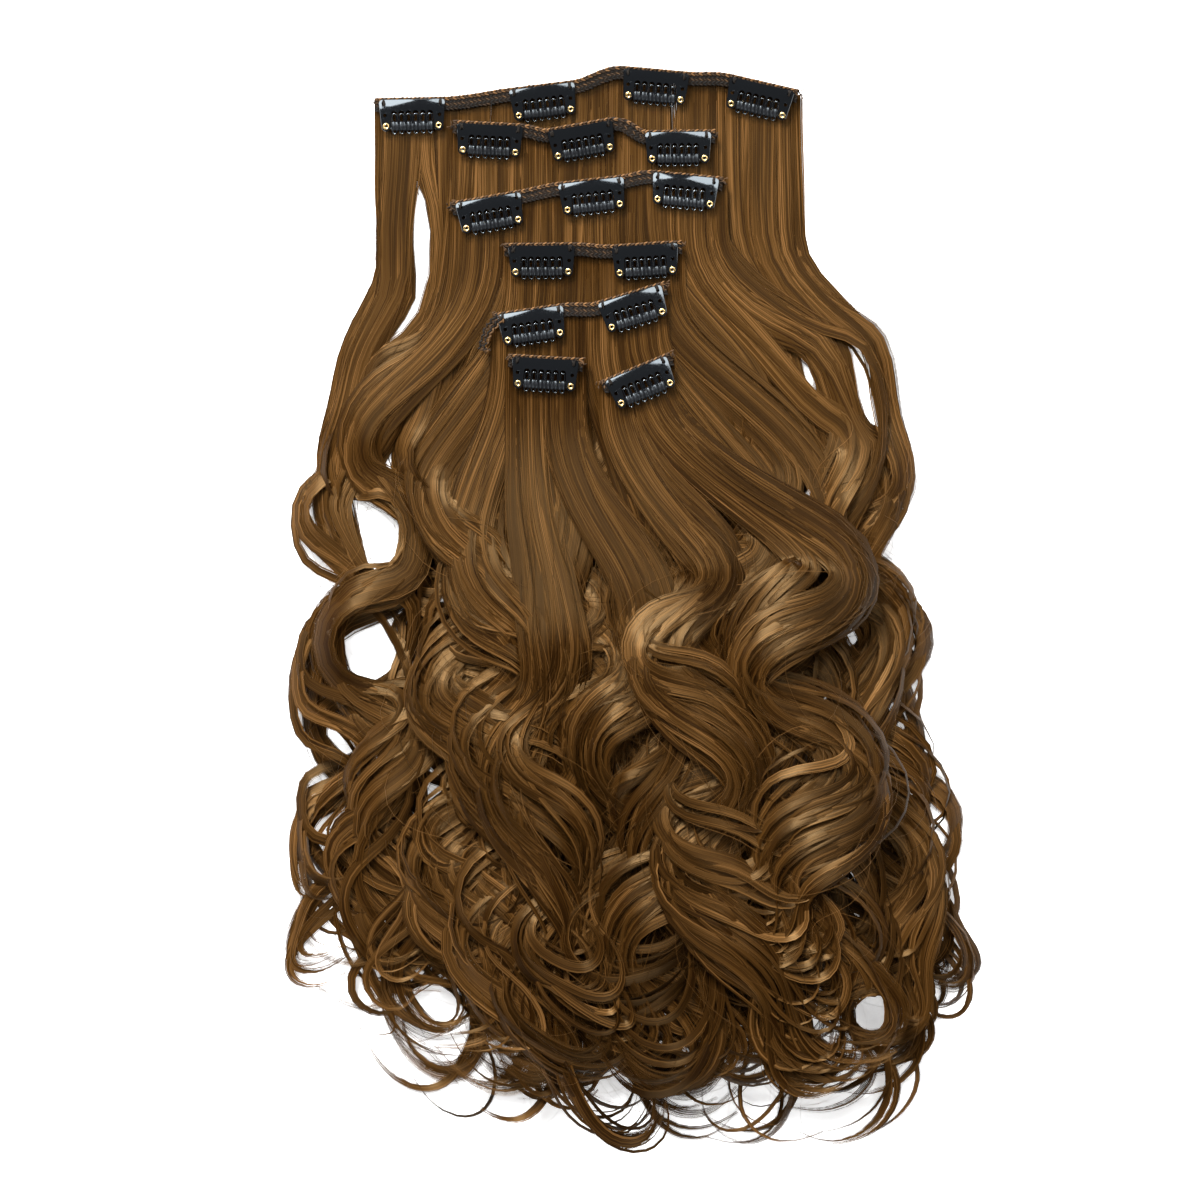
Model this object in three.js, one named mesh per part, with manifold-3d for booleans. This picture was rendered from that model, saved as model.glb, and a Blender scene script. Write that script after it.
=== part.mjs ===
// A clip-in hair extension of wavy synthetic hair, laid out flat and face down as it is sold: seven wefts
// that lie one on another, the widest lowest, with sixteen snap clips facing up. Each weft is a sewn track
// with its locks of hair hanging from it. Millimetres, +Z up, +Y from the hair's ends towards the tracks.
// The origin is on the surface that it lies on, under the middle of the widest track.
import * as THREE from "three";
import { mergeVertices } from "three/addons/utils/BufferGeometryUtils.js";
import Module from "manifold-3d";

const wasm = await Module();
wasm.setup();

// The snap clip: a stamped plate with two legs and a row of teeth, and a rubber-sleeved bar riveted below it
const CLIP_WIDTH = 32;
const CLIP_HEIGHT = 17;
const PLATE_THICKNESS = 0.6;
const PLATE_BOW = 1.2;
const PLATE_CORNER = 1.6;
const LEG_WIDTH = 4.6;
const LEG_LEAN = 1;
const LEG_MARGIN = 0.8;
const HOLE_RADIUS = 0.8;
const EYELET_RADIUS = 1.7;
const EYELET_HEIGHT = 0.5;
const TOOTH_COUNT = 5;
const TOOTH_WIDTH = 3;
const BAR_DEPTH = 4.2;
const BAR_THICKNESS = 1.5;
const LUG_THICKNESS = 0.6;
const LUG_DEPTH = 2.9;
const LUG_MARGIN = 0.2; // how far the lug's end stays inside the eyelet's rim
const LAST_TOOTH_ROOM = 0.4; // room beside the end teeth together, in tooth pitches

// The sewn track along the top of each weft
const TRACK_DEPTH = 6.6;
const TRACK_THICKNESS = 1.3;
const TRACK_BEAD = 2.1;
const BEAD_FOOT = 0.55; // where the rolled edge rises from the strip, as a share of TRACK_DEPTH
const BEAD_TOP = 0.72;
const TRACK_OVERHANG = 2;
const TRACK_ABOVE_CLIP = 1;

// The hair
const HAIR_LENGTH = 635;
const HAIR_DROP = 520;
const HALF_SPREAD = 172;
const ROOT_LAYER = 2.6;
const WAVY_LAYER = 5.4;
const LAYER_RISE_START = 160;
const LAYER_RISE_END = 290;
const LAYER_FALL_START = 400;
const LAYER_FALL_END = 510;
const LOCK_WIDTH = 30;
const LOCK_TIP_WIDTH = 5;
const ROOT_COVER = 1.04; // how much the locks overlap side by side at their roots
const TAPER_START = 0.7; // as a share of a lock's length
const LOCK_SPREAD_END = 20; // how far past the straight hair a lock reaches its full width
const FLARE_START = 0.3; // where the locks leave their roots for their lanes, in shares of the straight hair
const FLARE_DROP = 90;
const END_THINNING = 0.45; // how much thinner the layers lie at the hair's ends, as a share
const SIDE_THINNING = 0.3;
const TIP_THINNING = 0.5;
const SWING_RAMP = 90;
const HOOK_LENGTH = 60;

const GAP = 0.3; // between pieces that touch
const RINGS_PER_WAVE = 5;
const HOLE_SIDES = 5;
const ROUTE_STEP = 2;

const COLOURS = {
  hair: { color: 0x7a5230, roughness: 0.45, metalness: 0 },
  track: { color: 0x2a1e14, roughness: 0.85, metalness: 0 },
  plate: { color: 0x101113, roughness: 0.22, metalness: 0.6 },
  grip: { color: 0x17181a, roughness: 0.5, metalness: 0 },
};

// Each weft from the lowest up: how long its hair is and how far down it stays straight, in shares of
// HAIR_LENGTH.
const WEFTS = [
  { name: "1", length: 0.98, straight: 0.2 },
  { name: "2", length: 0.95, straight: 0.17 },
  { name: "3", length: 0.89, straight: 0.13 },
  { name: "4", length: 0.83, straight: 0.11 },
  { name: "5", length: 0.77, straight: 0.11 },
  { name: "6", length: 0.73, straight: 0.15 },
  { name: "7", length: 0.72, straight: 0.06 },
];

// The outline of the hair as it lies: the place down it in shares of HAIR_DROP, and its left and right
// edges from the middle of the widest track, in shares of HALF_SPREAD.
const OUTLINE = [
  { down: 0, left: -0.58, right: 0.62 },
  { down: 0.16, left: -0.57, right: 0.65 },
  { down: 0.24, left: -0.7, right: 0.83 },
  { down: 0.38, left: -0.79, right: 0.93 },
  { down: 0.57, left: -0.8, right: 0.96 },
  { down: 0.76, left: -0.84, right: 1.12 },
  { down: 0.84, left: -0.88, right: 1.17 },
  { down: 1, left: -0.84, right: 1.1 },
];

// Where each clip lies: across and down to the middle between its eyelets, in clip widths and clip heights,
// its turn in the plane and how far its top edge tips up, in degrees.
const CLIPS = [
  { weft: 1, across: -2.64, down: 1.17, turn: 1.2, tip: 5 },
  { weft: 1, across: -0.64, down: 0.78, turn: 7.1, tip: 8 },
  { weft: 1, across: 1.02, down: 0.34, turn: -5.2, tip: 12 },
  { weft: 1, across: 2.57, down: 0.67, turn: -13, tip: 15 },
  { weft: 2, across: -1.48, down: 1.87, turn: -3.1, tip: 13 },
  { weft: 2, across: -0.05, down: 1.88, turn: 10, tip: 15 },
  { weft: 2, across: 1.38, down: 2.11, turn: 0.6, tip: 6 },
  { weft: 3, across: -1.43, down: 3.98, turn: 9.9, tip: 6 },
  { weft: 3, across: 0.1, down: 3.5, turn: 6.6, tip: 5 },
  { weft: 3, across: 1.46, down: 3.36, turn: -5.5, tip: 2 },
  { weft: 4, across: -0.68, down: 5.32, turn: 0.5, tip: 14 },
  { weft: 4, across: 0.89, down: 5.33, turn: 3.5, tip: 9 },
  { weft: 5, across: -0.8, down: 7.2, turn: 8.4, tip: 3 },
  { weft: 5, across: 0.75, down: 6.72, turn: 17, tip: 3 },
  { weft: 6, across: -0.64, down: 8.55, turn: -3.3, tip: 12 },
  { weft: 7, across: 0.88, down: 8.82, turn: 22.6, tip: 3 },
];

// The locks of hair, from left to right in each weft: lane is its place between the edges of the outline,
// from -1 to 1, swing is how steeply it waves from side to side, in degrees, wave is the length of one wave
// as a share of HAIR_LENGTH, and phase is where in the wave it leaves the straight hair, in degrees. hook is
// how far its end curls over, in degrees, and short is the share of its weft's length that it lacks.
const LOCKS = [
  { weft: 1, lane: -1, swing: 62, wave: 0.19, phase: 200, hook: 100, short: 0.1 },
  { weft: 1, lane: -0.67, swing: 62, wave: 0.18, phase: 170, hook: -80, short: 0.04 },
  { weft: 1, lane: -0.33, swing: 60, wave: 0.2, phase: 140, hook: 90, short: 0.01 },
  { weft: 1, lane: 0, swing: 62, wave: 0.21, phase: 110, hook: 100, short: 0 },
  { weft: 1, lane: 0.34, swing: 60, wave: 0.2, phase: 80, hook: -90, short: 0.01 },
  { weft: 1, lane: 0.68, swing: 60, wave: 0.18, phase: 50, hook: -100, short: 0.05 },
  { weft: 1, lane: 1, swing: 57, wave: 0.19, phase: 10, hook: -100, short: 0.09 },
  { weft: 2, lane: -0.88, swing: 60, wave: 0.18, phase: 110, hook: 90, short: 0.06 },
  { weft: 2, lane: -0.46, swing: 62, wave: 0.2, phase: 150, hook: -80, short: 0.01 },
  { weft: 2, lane: 0.02, swing: 60, wave: 0.21, phase: 110, hook: 100, short: 0 },
  { weft: 2, lane: 0.46, swing: 62, wave: 0.2, phase: 70, hook: -90, short: 0.02 },
  { weft: 2, lane: 0.88, swing: 58, wave: 0.18, phase: 310, hook: 80, short: 0.06 },
  { weft: 3, lane: -0.96, swing: 58, wave: 0.19, phase: 280, hook: 90, short: 0.08 },
  { weft: 3, lane: -0.5, swing: 62, wave: 0.2, phase: 180, hook: -90, short: 0.02 },
  { weft: 3, lane: 0, swing: 64, wave: 0.2, phase: 140, hook: 100, short: 0 },
  { weft: 3, lane: 0.5, swing: 62, wave: 0.2, phase: 90, hook: -80, short: 0.01 },
  { weft: 3, lane: 0.94, swing: 58, wave: 0.19, phase: 90, hook: -90, short: 0.07 },
  { weft: 4, lane: -0.66, swing: 62, wave: 0.19, phase: 200, hook: 80, short: 0.03 },
  { weft: 4, lane: -0.22, swing: 60, wave: 0.2, phase: 160, hook: -90, short: 0 },
  { weft: 4, lane: 0.24, swing: 60, wave: 0.2, phase: 110, hook: 90, short: 0 },
  { weft: 4, lane: 0.7, swing: 60, wave: 0.2, phase: 50, hook: -80, short: 0.03 },
  { weft: 5, lane: -0.5, swing: 60, wave: 0.19, phase: 210, hook: -90, short: 0.02 },
  { weft: 5, lane: -0.17, swing: 62, wave: 0.2, phase: 170, hook: 80, short: 0 },
  { weft: 5, lane: 0.18, swing: 60, wave: 0.2, phase: 120, hook: 90, short: 0 },
  { weft: 5, lane: 0.54, swing: 60, wave: 0.21, phase: 60, hook: -80, short: 0.01 },
  { weft: 6, lane: -0.28, swing: 62, wave: 0.21, phase: 20, hook: 90, short: 0 },
  { weft: 6, lane: 0.08, swing: 58, wave: 0.22, phase: 10, hook: -90, short: 0.03 },
  { weft: 7, lane: 0.34, swing: 58, wave: 0.21, phase: 60, hook: 80, short: 0 },
  { weft: 7, lane: 0.72, swing: 60, wave: 0.22, phase: 40, hook: -100, short: 0.02 },
];

// Inside the clip, from the middle of the plate's top edge down
const EYELET_DROP = 0.75 * CLIP_HEIGHT;
const TOP_BAND = 0.31 * CLIP_HEIGHT;
const LEG_LENGTH = EYELET_DROP + EYELET_RADIUS + LEG_MARGIN;
const EYELET_OFFSET = CLIP_WIDTH / 2 - LEG_WIDTH / 2 - LEG_LEAN;
const COMB_HALF = EYELET_OFFSET - LEG_WIDTH / 2;

// How far the waves of a lock reach to either side of its lane
const WAVE_REACH = 0.04 * HALF_SPREAD;

const radians = THREE.MathUtils.degToRad;
const smooth = THREE.MathUtils.smoothstep;
const clamp = THREE.MathUtils.clamp;

// A mesh's closed surface as a solid that can be joined to others
function solidOf(geometry) {
  const bare = geometry.clone();
  bare.deleteAttribute("normal");
  bare.deleteAttribute("uv");
  const merged = mergeVertices(bare, 1e-4);
  return new wasm.Manifold(
    new wasm.Mesh({
      numProp: 3,
      vertProperties: merged.attributes.position.array,
      triVerts: new Uint32Array(merged.index.array),
    }),
  );
}

function geometryOf(solid) {
  const mesh = solid.getMesh();
  const geometry = new THREE.BufferGeometry();
  geometry.setAttribute("position", new THREE.BufferAttribute(mesh.vertProperties, 3));
  geometry.setIndex(new THREE.BufferAttribute(mesh.triVerts, 1));
  return geometry;
}

// Moves every point of a geometry to where place(point) puts it
function bend(geometry, place) {
  const points = geometry.attributes.position;
  const point = new THREE.Vector3();
  for (let i = 0; i < points.count; i++) {
    point.fromBufferAttribute(points, i);
    place(point);
    points.setXYZ(i, point.x, point.y, point.z);
  }
  return geometry;
}

// How thick one weft's hair lies: thin by the tracks, deep in the waves, thinner at the sides and the ends
function layerDepth(x, y) {
  const rise = smooth(-y, LAYER_RISE_START, LAYER_RISE_END);
  const fall = 1 - END_THINNING * smooth(-y, LAYER_FALL_START, LAYER_FALL_END);
  const side = 1 - SIDE_THINNING * Math.min(1, (x / (2 * HALF_SPREAD)) ** 2);
  return ROOT_LAYER + (WAVY_LAYER - ROOT_LAYER) * rise * fall * side;
}

// The height of a place in a weft's layer, from share 0 at its underside to 1 at its top
function heightIn(weft, x, y, share) {
  const depth = layerDepth(x, y);
  return (weft - 1) * depth + share * (depth - GAP);
}

const clipsOf = (weft) => CLIPS.filter((clip) => clip.weft === weft);

// The middle between a clip's eyelets, and its directions across and up in the plane
function clipPlace(clip) {
  const turn = radians(clip.turn);
  return {
    x: clip.across * CLIP_WIDTH,
    y: -clip.down * CLIP_HEIGHT,
    across: new THREE.Vector2(Math.cos(turn), Math.sin(turn)),
    up: new THREE.Vector2(-Math.sin(turn), Math.cos(turn)),
  };
}

// The line of a track's lower edge: straight behind each clip, an easy curve between them, and a little
// past the last clip at each end. tips holds how far the track leans at each point.
function trackLine(weft) {
  const points = [];
  const tips = [];
  const clips = clipsOf(weft);
  clips.forEach((clip, index) => {
    const place = clipPlace(clip);
    const lift = EYELET_DROP + TRACK_ABOVE_CLIP - TRACK_DEPTH;
    const start = index === 0 ? CLIP_WIDTH / 2 + TRACK_OVERHANG : CLIP_WIDTH / 2;
    const end = index === clips.length - 1 ? CLIP_WIDTH / 2 + TRACK_OVERHANG : CLIP_WIDTH / 2;
    const lifted = lift * Math.cos(radians(clip.tip));
    for (const along of [-start, end]) {
      points.push(
        new THREE.Vector3(
          place.x + place.up.x * lifted + place.across.x * along,
          place.y + place.up.y * lifted + place.across.y * along,
          0,
        ),
      );
      tips.push(clip.tip);
    }
  });
  return { curve: new THREE.CatmullRomCurve3(points, false, "centripetal"), tips };
}

const LINES = WEFTS.map((_, index) => trackLine(index + 1));

// A place on a track's lower edge, its directions across and up, and how far it leans there
function onTrack(weft, share) {
  const { curve, tips } = LINES[weft - 1];
  const point = curve.getPoint(share);
  const across = curve.getTangent(share);
  const at = share * (tips.length - 1);
  const before = Math.min(Math.floor(at), tips.length - 2);
  const tip = THREE.MathUtils.lerp(tips[before], tips[before + 1], at - before);
  return { point, across, up: new THREE.Vector3(-across.y, across.x, 0), tip: radians(tip) };
}

// How high above the hair the track's lower edge stands, so that a tipped clip's bar clears the hair
function trackLift(tip) {
  return GAP + (TRACK_DEPTH / 2 + BAR_DEPTH) * Math.sin(tip);
}

// The sewn track: a flat strip with a thicker rolled edge along its top
function trackGeometry(weft, stations) {
  const profile = new THREE.Shape([
    new THREE.Vector2(0, 0),
    new THREE.Vector2(TRACK_DEPTH, 0),
    new THREE.Vector2(TRACK_DEPTH, TRACK_BEAD),
    new THREE.Vector2(BEAD_TOP * TRACK_DEPTH, TRACK_BEAD),
    new THREE.Vector2(BEAD_FOOT * TRACK_DEPTH, TRACK_THICKNESS),
    new THREE.Vector2(0, TRACK_THICKNESS),
  ]);
  const strip = new THREE.ExtrudeGeometry(profile, { depth: 1, steps: stations, bevelEnabled: false });
  return bend(strip, (point) => {
    const { point: foot, up, tip } = onTrack(weft, point.z);
    const out = point.x * Math.cos(tip) - point.y * Math.sin(tip);
    const rise = point.x * Math.sin(tip) + point.y * Math.cos(tip);
    const x = foot.x + up.x * out;
    const y = foot.y + up.y * out;
    point.set(x, y, heightIn(weft, foot.x, foot.y, 1) + trackLift(tip) + rise);
  });
}

// The hair's roots, folded into a strip that fills the space under the track
function rootGeometry(weft, stations) {
  const strip = new THREE.BoxGeometry(1, TRACK_DEPTH, 1, stations, 1, 1);
  return bend(strip, (point) => {
    const { point: foot, up, tip } = onTrack(weft, point.x + 0.5);
    const out = point.y + TRACK_DEPTH / 2;
    const x = foot.x + up.x * out * Math.cos(tip);
    const y = foot.y + up.y * out * Math.cos(tip);
    const underTrack = heightIn(weft, foot.x, foot.y, 1) + trackLift(tip) - GAP + out * Math.sin(tip);
    point.set(x, y, point.z > 0 ? underTrack : heightIn(weft, x, y, 0));
  });
}

// The left or right edge of the hair at a distance down it
function outlineAt(down, edge) {
  const share = clamp(down / HAIR_DROP, 0, 1);
  const next = Math.max(1, OUTLINE.findIndex((row) => row.down >= share));
  const [above, below] = [OUTLINE[next - 1], OUTLINE[next]];
  const between = (share - above.down) / (below.down - above.down);
  return HALF_SPREAD * THREE.MathUtils.lerp(above[edge], below[edge], between);
}

// Where a lane lies across the hair at a distance down it, with room beside it for half a lock and its waves
function laneAt(lane, down) {
  const room = LOCK_WIDTH / 2 + WAVE_REACH * smooth(down, 0, FLARE_DROP);
  const left = outlineAt(down, "left") + room;
  const right = outlineAt(down, "right") - room;
  return THREE.MathUtils.lerp(left, right, (lane + 1) / 2);
}

// The route of a lock's middle, as evenly spaced points with the heading at each: straight down at first,
// then into its lane while its heading swings from side to side, and over into its hook at the end.
function lockRoute(lock) {
  const weft = WEFTS[lock.weft - 1];
  const length = weft.length * (1 - lock.short) * HAIR_LENGTH;
  const straight = weft.straight * HAIR_LENGTH;
  const wave = lock.wave * HAIR_LENGTH;
  const siblings = LOCKS.filter((other) => other.weft === lock.weft);
  const root = onTrack(lock.weft, (siblings.indexOf(lock) + 0.5) / siblings.length);
  const rootX = root.point.x + (root.up.x * TRACK_DEPTH) / 2;
  const rootY = root.point.y + (root.up.y * TRACK_DEPTH) / 2;
  let sway = 0;
  let drop = 0;
  const middles = [];
  for (let along = 0; along <= length; along += ROUTE_STEP) {
    const swing = radians(lock.swing) * smooth(along - straight, 0, SWING_RAMP);
    const hook = radians(lock.hook) * smooth(along, length - HOOK_LENGTH, length);
    const heading = swing * Math.sin((2 * Math.PI * (along - straight)) / wave + radians(lock.phase)) + hook;
    const down = drop - rootY;
    const drift = smooth(drop, FLARE_START * straight, FLARE_START * straight + FLARE_DROP);
    middles.push({ x: THREE.MathUtils.lerp(rootX, laneAt(lock.lane, down), drift) + sway, y: -down });
    sway += Math.sin(heading) * ROUTE_STEP;
    drop += Math.cos(heading) * ROUTE_STEP;
  }
  const route = middles.map((middle, index) => {
    const before = middles[Math.max(index - 1, 0)];
    const after = middles[Math.min(index + 1, middles.length - 1)];
    return { ...middle, heading: Math.atan2(after.x - before.x, before.y - after.y) };
  });
  return { route, length, straight, wave };
}

// A lock of hair: a four-sided tube, broad and flat at its root and narrowing to its tip, laid in its layer
function lockGeometry(lock, rootWidth) {
  const { route, length, straight, wave } = lockRoute(lock);
  const wavyRings = Math.ceil(((length - straight) / wave) * RINGS_PER_WAVE);
  const stations = [0, straight / 2];
  for (let i = 0; i <= wavyRings; i++) {
    stations.push(straight + ((length - straight) * i) / wavyRings);
  }
  const tube = new THREE.CylinderGeometry(1, 1, 1, 4, stations.length - 1);
  return bend(tube, (point) => {
    const ring = Math.round((0.5 - point.y) * (stations.length - 1));
    const along = stations[ring];
    const spot = route[Math.min(Math.round(along / ROUTE_STEP), route.length - 1)];
    const share = along / length;
    const broad = THREE.MathUtils.lerp(rootWidth, LOCK_WIDTH, smooth(along, 0, straight + LOCK_SPREAD_END));
    const width = THREE.MathUtils.lerp(broad, LOCK_TIP_WIDTH, smooth(share, TAPER_START, 1));
    const depth = 1 - TIP_THINNING * smooth(share, TAPER_START, 1);
    const side = (point.x * width) / 2;
    const x = spot.x + Math.cos(spot.heading) * side;
    const y = spot.y + Math.sin(spot.heading) * side;
    point.set(x, y, heightIn(lock.weft, x, y, 0.5 + (depth * point.z) / 2));
  });
}

function hairGeometry(weft, stations) {
  const locks = LOCKS.filter((lock) => lock.weft === weft);
  const { curve } = LINES[weft - 1];
  const rootWidth = (ROOT_COVER * curve.getLength()) / locks.length;
  const pieces = [rootGeometry(weft, stations), ...locks.map((lock) => lockGeometry(lock, rootWidth))];
  return geometryOf(pieces.map(solidOf).reduce((joined, piece) => joined.add(piece)));
}

// A round hole or rim about a point between the eyelets' middles
function ringPath(x, radius) {
  const path = new THREE.Path();
  for (let i = 0; i < HOLE_SIDES; i++) {
    const angle = (2 * Math.PI * (i + 0.5)) / HOLE_SIDES;
    const corner = [x + radius * Math.cos(angle), radius * Math.sin(angle)];
    if (i === 0) path.moveTo(...corner);
    else path.lineTo(...corner);
  }
  path.closePath();
  return path;
}

const shapeOf = (points) => new THREE.Shape(points.map(([x, y]) => new THREE.Vector2(x, y)));

// The middle of the plate, origin between the eyelets: a band along its top with the teeth under it
function combShape() {
  const toothRoot = EYELET_DROP - TOP_BAND;
  const toothTip = EYELET_DROP - CLIP_HEIGHT;
  const pitch = (2 * COMB_HALF) / (TOOTH_COUNT + LAST_TOOTH_ROOM);
  const half = TOOTH_WIDTH / 2;
  const points = [[-COMB_HALF, EYELET_DROP], [COMB_HALF, EYELET_DROP], [COMB_HALF, toothRoot]];
  for (let i = 0; i < TOOTH_COUNT; i++) {
    const middle = ((TOOTH_COUNT - 1) / 2 - i) * pitch;
    points.push([middle + half, toothRoot], [middle + half / 2, toothTip]);
    points.push([middle - half / 2, toothTip], [middle - half, toothRoot]);
  }
  points.push([-COMB_HALF, toothRoot]);
  return shapeOf(points);
}

// One end of the plate with its leg and the hole for its eyelet, on the right for side 1 and the left for -1
function legShape(side) {
  const legEnd = EYELET_DROP - LEG_LENGTH;
  const outer = CLIP_WIDTH / 2;
  const foot = outer - LEG_LEAN;
  const shape = shapeOf([
    [side * COMB_HALF, EYELET_DROP],
    [side * (outer - PLATE_CORNER), EYELET_DROP],
    [side * outer, EYELET_DROP - PLATE_CORNER],
    [side * foot, legEnd + PLATE_CORNER],
    [side * (foot - PLATE_CORNER), legEnd],
    [side * COMB_HALF, legEnd],
  ]);
  shape.holes.push(ringPath(side * EYELET_OFFSET, HOLE_RADIUS));
  return shape;
}

// The rim of the eyelet that is pressed into the end of a leg
function eyeletShape(side) {
  const shape = new THREE.Shape(ringPath(side * EYELET_OFFSET, EYELET_RADIUS).getPoints());
  shape.holes.push(ringPath(side * EYELET_OFFSET, HOLE_RADIUS));
  return shape;
}

// The plate is flat across its teeth and slopes down to its ends
function bowAt(x) {
  const beyond = Math.max(0, Math.abs(x) - COMB_HALF);
  return PLATE_BOW * (1 - beyond / (CLIP_WIDTH / 2 - COMB_HALF));
}

// The stamped plate with its teeth, and the two eyelets pressed into the ends of its legs
function plateGeometry() {
  const pieces = [[combShape(), PLATE_THICKNESS]];
  for (const side of [-1, 1]) {
    pieces.push([legShape(side), PLATE_THICKNESS], [eyeletShape(side), PLATE_THICKNESS + EYELET_HEIGHT]);
  }
  const solids = pieces.map(([shape, depth]) => {
    const flat = new THREE.ExtrudeGeometry(shape, { depth, bevelEnabled: false });
    return solidOf(bend(flat, (point) => (point.z += bowAt(point.x))));
  });
  return geometryOf(solids.reduce((joined, piece) => joined.add(piece)));
}

// The bar under the teeth in its rubber sleeve, with a flat lug under each leg
function gripGeometry() {
  const inner = COMB_HALF - GAP;
  const lugEnd = EYELET_OFFSET + EYELET_RADIUS - LUG_MARGIN;
  const sleeve = new THREE.BoxGeometry(2 * inner, BAR_DEPTH, BAR_THICKNESS);
  sleeve.translate(0, 0, -GAP - BAR_THICKNESS / 2);
  const lug = new THREE.BoxGeometry(2 * lugEnd, LUG_DEPTH, LUG_THICKNESS);
  lug.translate(0, 0, -GAP - LUG_THICKNESS / 2);
  const solid = solidOf(sleeve).add(solidOf(lug));
  return bend(geometryOf(solid), (point) => {
    point.z += bowAt(point.x);
  });
}

// A clip's own frame: origin on the plate's underside between the eyelets, resting along its track
function placeClip(mesh, clip) {
  const place = clipPlace(clip);
  const tip = radians(clip.tip);
  const reach = EYELET_DROP + TRACK_ABOVE_CLIP - TRACK_DEPTH;
  const footX = place.x + place.up.x * reach * Math.cos(tip);
  const footY = place.y + place.up.y * reach * Math.cos(tip);
  const foot = heightIn(clip.weft, footX, footY, 1) + trackLift(tip);
  const above = TRACK_BEAD + GAP;
  mesh.rotation.set(tip, 0, radians(clip.turn), "ZXY");
  mesh.position.set(
    place.x - place.up.x * above * Math.sin(tip),
    place.y - place.up.y * above * Math.sin(tip),
    foot - reach * Math.sin(tip) + above * Math.cos(tip),
  );
  return mesh;
}

function materialOf(name) {
  return new THREE.MeshStandardMaterial(COLOURS[name]);
}

function namedMesh(name, geometry, material) {
  const mesh = new THREE.Mesh(geometry, material);
  mesh.name = name;
  return mesh;
}

const extension = new THREE.Group();
extension.name = "hair_extension";
const hairMaterial = materialOf("hair");
const trackMaterial = materialOf("track");
const plateMaterial = materialOf("plate");
const gripMaterial = materialOf("grip");
const plate = plateGeometry();
const grip = gripGeometry();

WEFTS.forEach(({ name }, index) => {
  const weft = index + 1;
  const clips = clipsOf(weft);
  const stations = 3 * clips.length - 1;
  const group = new THREE.Group();
  group.add(namedMesh(`hair_${name}`, hairGeometry(weft, stations), hairMaterial));
  group.add(namedMesh(`track_${name}`, trackGeometry(weft, stations), trackMaterial));
  clips.forEach((clip, place) => {
    group.add(placeClip(namedMesh(`clip_${name}_${place + 1}_plate`, plate, plateMaterial), clip));
    group.add(placeClip(namedMesh(`clip_${name}_${place + 1}_grip`, grip, gripMaterial), clip));
  });
  extension.add(group);
});

export default extension;
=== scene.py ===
"""A clip-in hair extension of seven wavy wefts, laid flat with its snap clips facing up."""
import math

import bmesh
import bpy
import numpy as np
from mathutils import Matrix, Vector


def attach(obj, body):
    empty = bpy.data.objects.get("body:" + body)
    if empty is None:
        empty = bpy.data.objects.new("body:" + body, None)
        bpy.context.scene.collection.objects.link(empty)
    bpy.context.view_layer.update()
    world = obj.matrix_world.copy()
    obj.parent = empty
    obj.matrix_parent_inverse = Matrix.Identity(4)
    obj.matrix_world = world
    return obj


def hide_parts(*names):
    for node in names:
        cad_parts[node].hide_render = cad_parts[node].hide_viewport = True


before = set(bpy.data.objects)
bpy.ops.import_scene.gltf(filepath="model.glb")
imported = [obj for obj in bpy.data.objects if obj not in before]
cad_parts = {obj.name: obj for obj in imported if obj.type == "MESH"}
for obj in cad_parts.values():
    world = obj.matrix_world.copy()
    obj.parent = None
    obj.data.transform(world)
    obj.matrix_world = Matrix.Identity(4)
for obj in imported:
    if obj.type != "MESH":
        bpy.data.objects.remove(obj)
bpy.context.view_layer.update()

# Sizes are in millimetres and turned into metres where a mesh is made
MM = 0.001

# The snap clip
CLIP_WIDTH = 32
CLIP_HEIGHT = 17
PLATE_THICKNESS = 0.6
PLATE_BOW = 1.2
PLATE_DIP = 0.5
PLATE_CORNER = 1.6
PLATE_BEVEL = 0.12
LEG_WIDTH = 4.6
LEG_LEAN = 1
LEG_END = 0.2
EYELET_DROP = 0.75 * CLIP_HEIGHT
EYELET_OFFSET = CLIP_WIDTH / 2 - LEG_WIDTH / 2 - LEG_LEAN
COMB_HALF = EYELET_OFFSET - LEG_WIDTH / 2
TOP_BAND = 0.31 * CLIP_HEIGHT
WINDOWS = 6
WINDOW_PITCH = 2 * COMB_HALF / WINDOWS
WINDOW_HALF = 1.35
THREAD_HOLE = dict(across=13.7, up=10.4, radius=0.8)
MIDDLE_HOLE = dict(across=13.2, up=5.2, radius=0.85)
EYELET_HOLE = dict(across=EYELET_OFFSET, up=0, radius=0.75)
EYELET_OUTER = 1.6
EYELET_INNER = 0.65
# The section of an eyelet: distance from its middle, and height above the plate's underside
EYELET_PROFILE = [
    (EYELET_INNER, -0.7), (EYELET_INNER, 0.75), (0.8, 1), (1.15, 1.1), (1.5, 0.95),
    (EYELET_OUTER, 0.7), (EYELET_OUTER, 0.6), (0.95, 0.55), (0.95, -0.7),
]
BAR_DEPTH = 4.2
RIBS = 11
RIB_RADIUS = 0.75
WIRE_RADIUS = 0.36
WIRE_HALF = 0.95
WIRE_TOP = 5.9
WIRE_TIP = -3.7
WIRE_DROP = 0.55
WIRE_CLIMB = 0.35
# The rubber sleeve: its gap to the legs, its size between the ribs, and where it hangs below the plate
SLEEVE = dict(gap=0.2, core=0.35, inset=0.15, swell=0.35, drop=0.75, squareness=0.6)
# How many points make a window's top, a leg's end, a plate's corner, a hole, an eyelet and one rib
WINDOW_POINTS = 7
LEG_POINTS = 11
CORNER_POINTS = 6
HOLE_POINTS = 20
EYELET_POINTS = 24
RIB_POINTS = 6
LUG = dict(half=14.2, depth=2.6, thickness=0.5)

# The sewn track along the top of each weft. Its depth runs from its lower edge to its rolled top edge.
TRACK_DEPTH = 6.6
TRACK_BEAD = 2.1
TRACK_OVERHANG = 2
TRACK_ABOVE_CLIP = 1
STITCH_PITCH = 2.0
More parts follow.
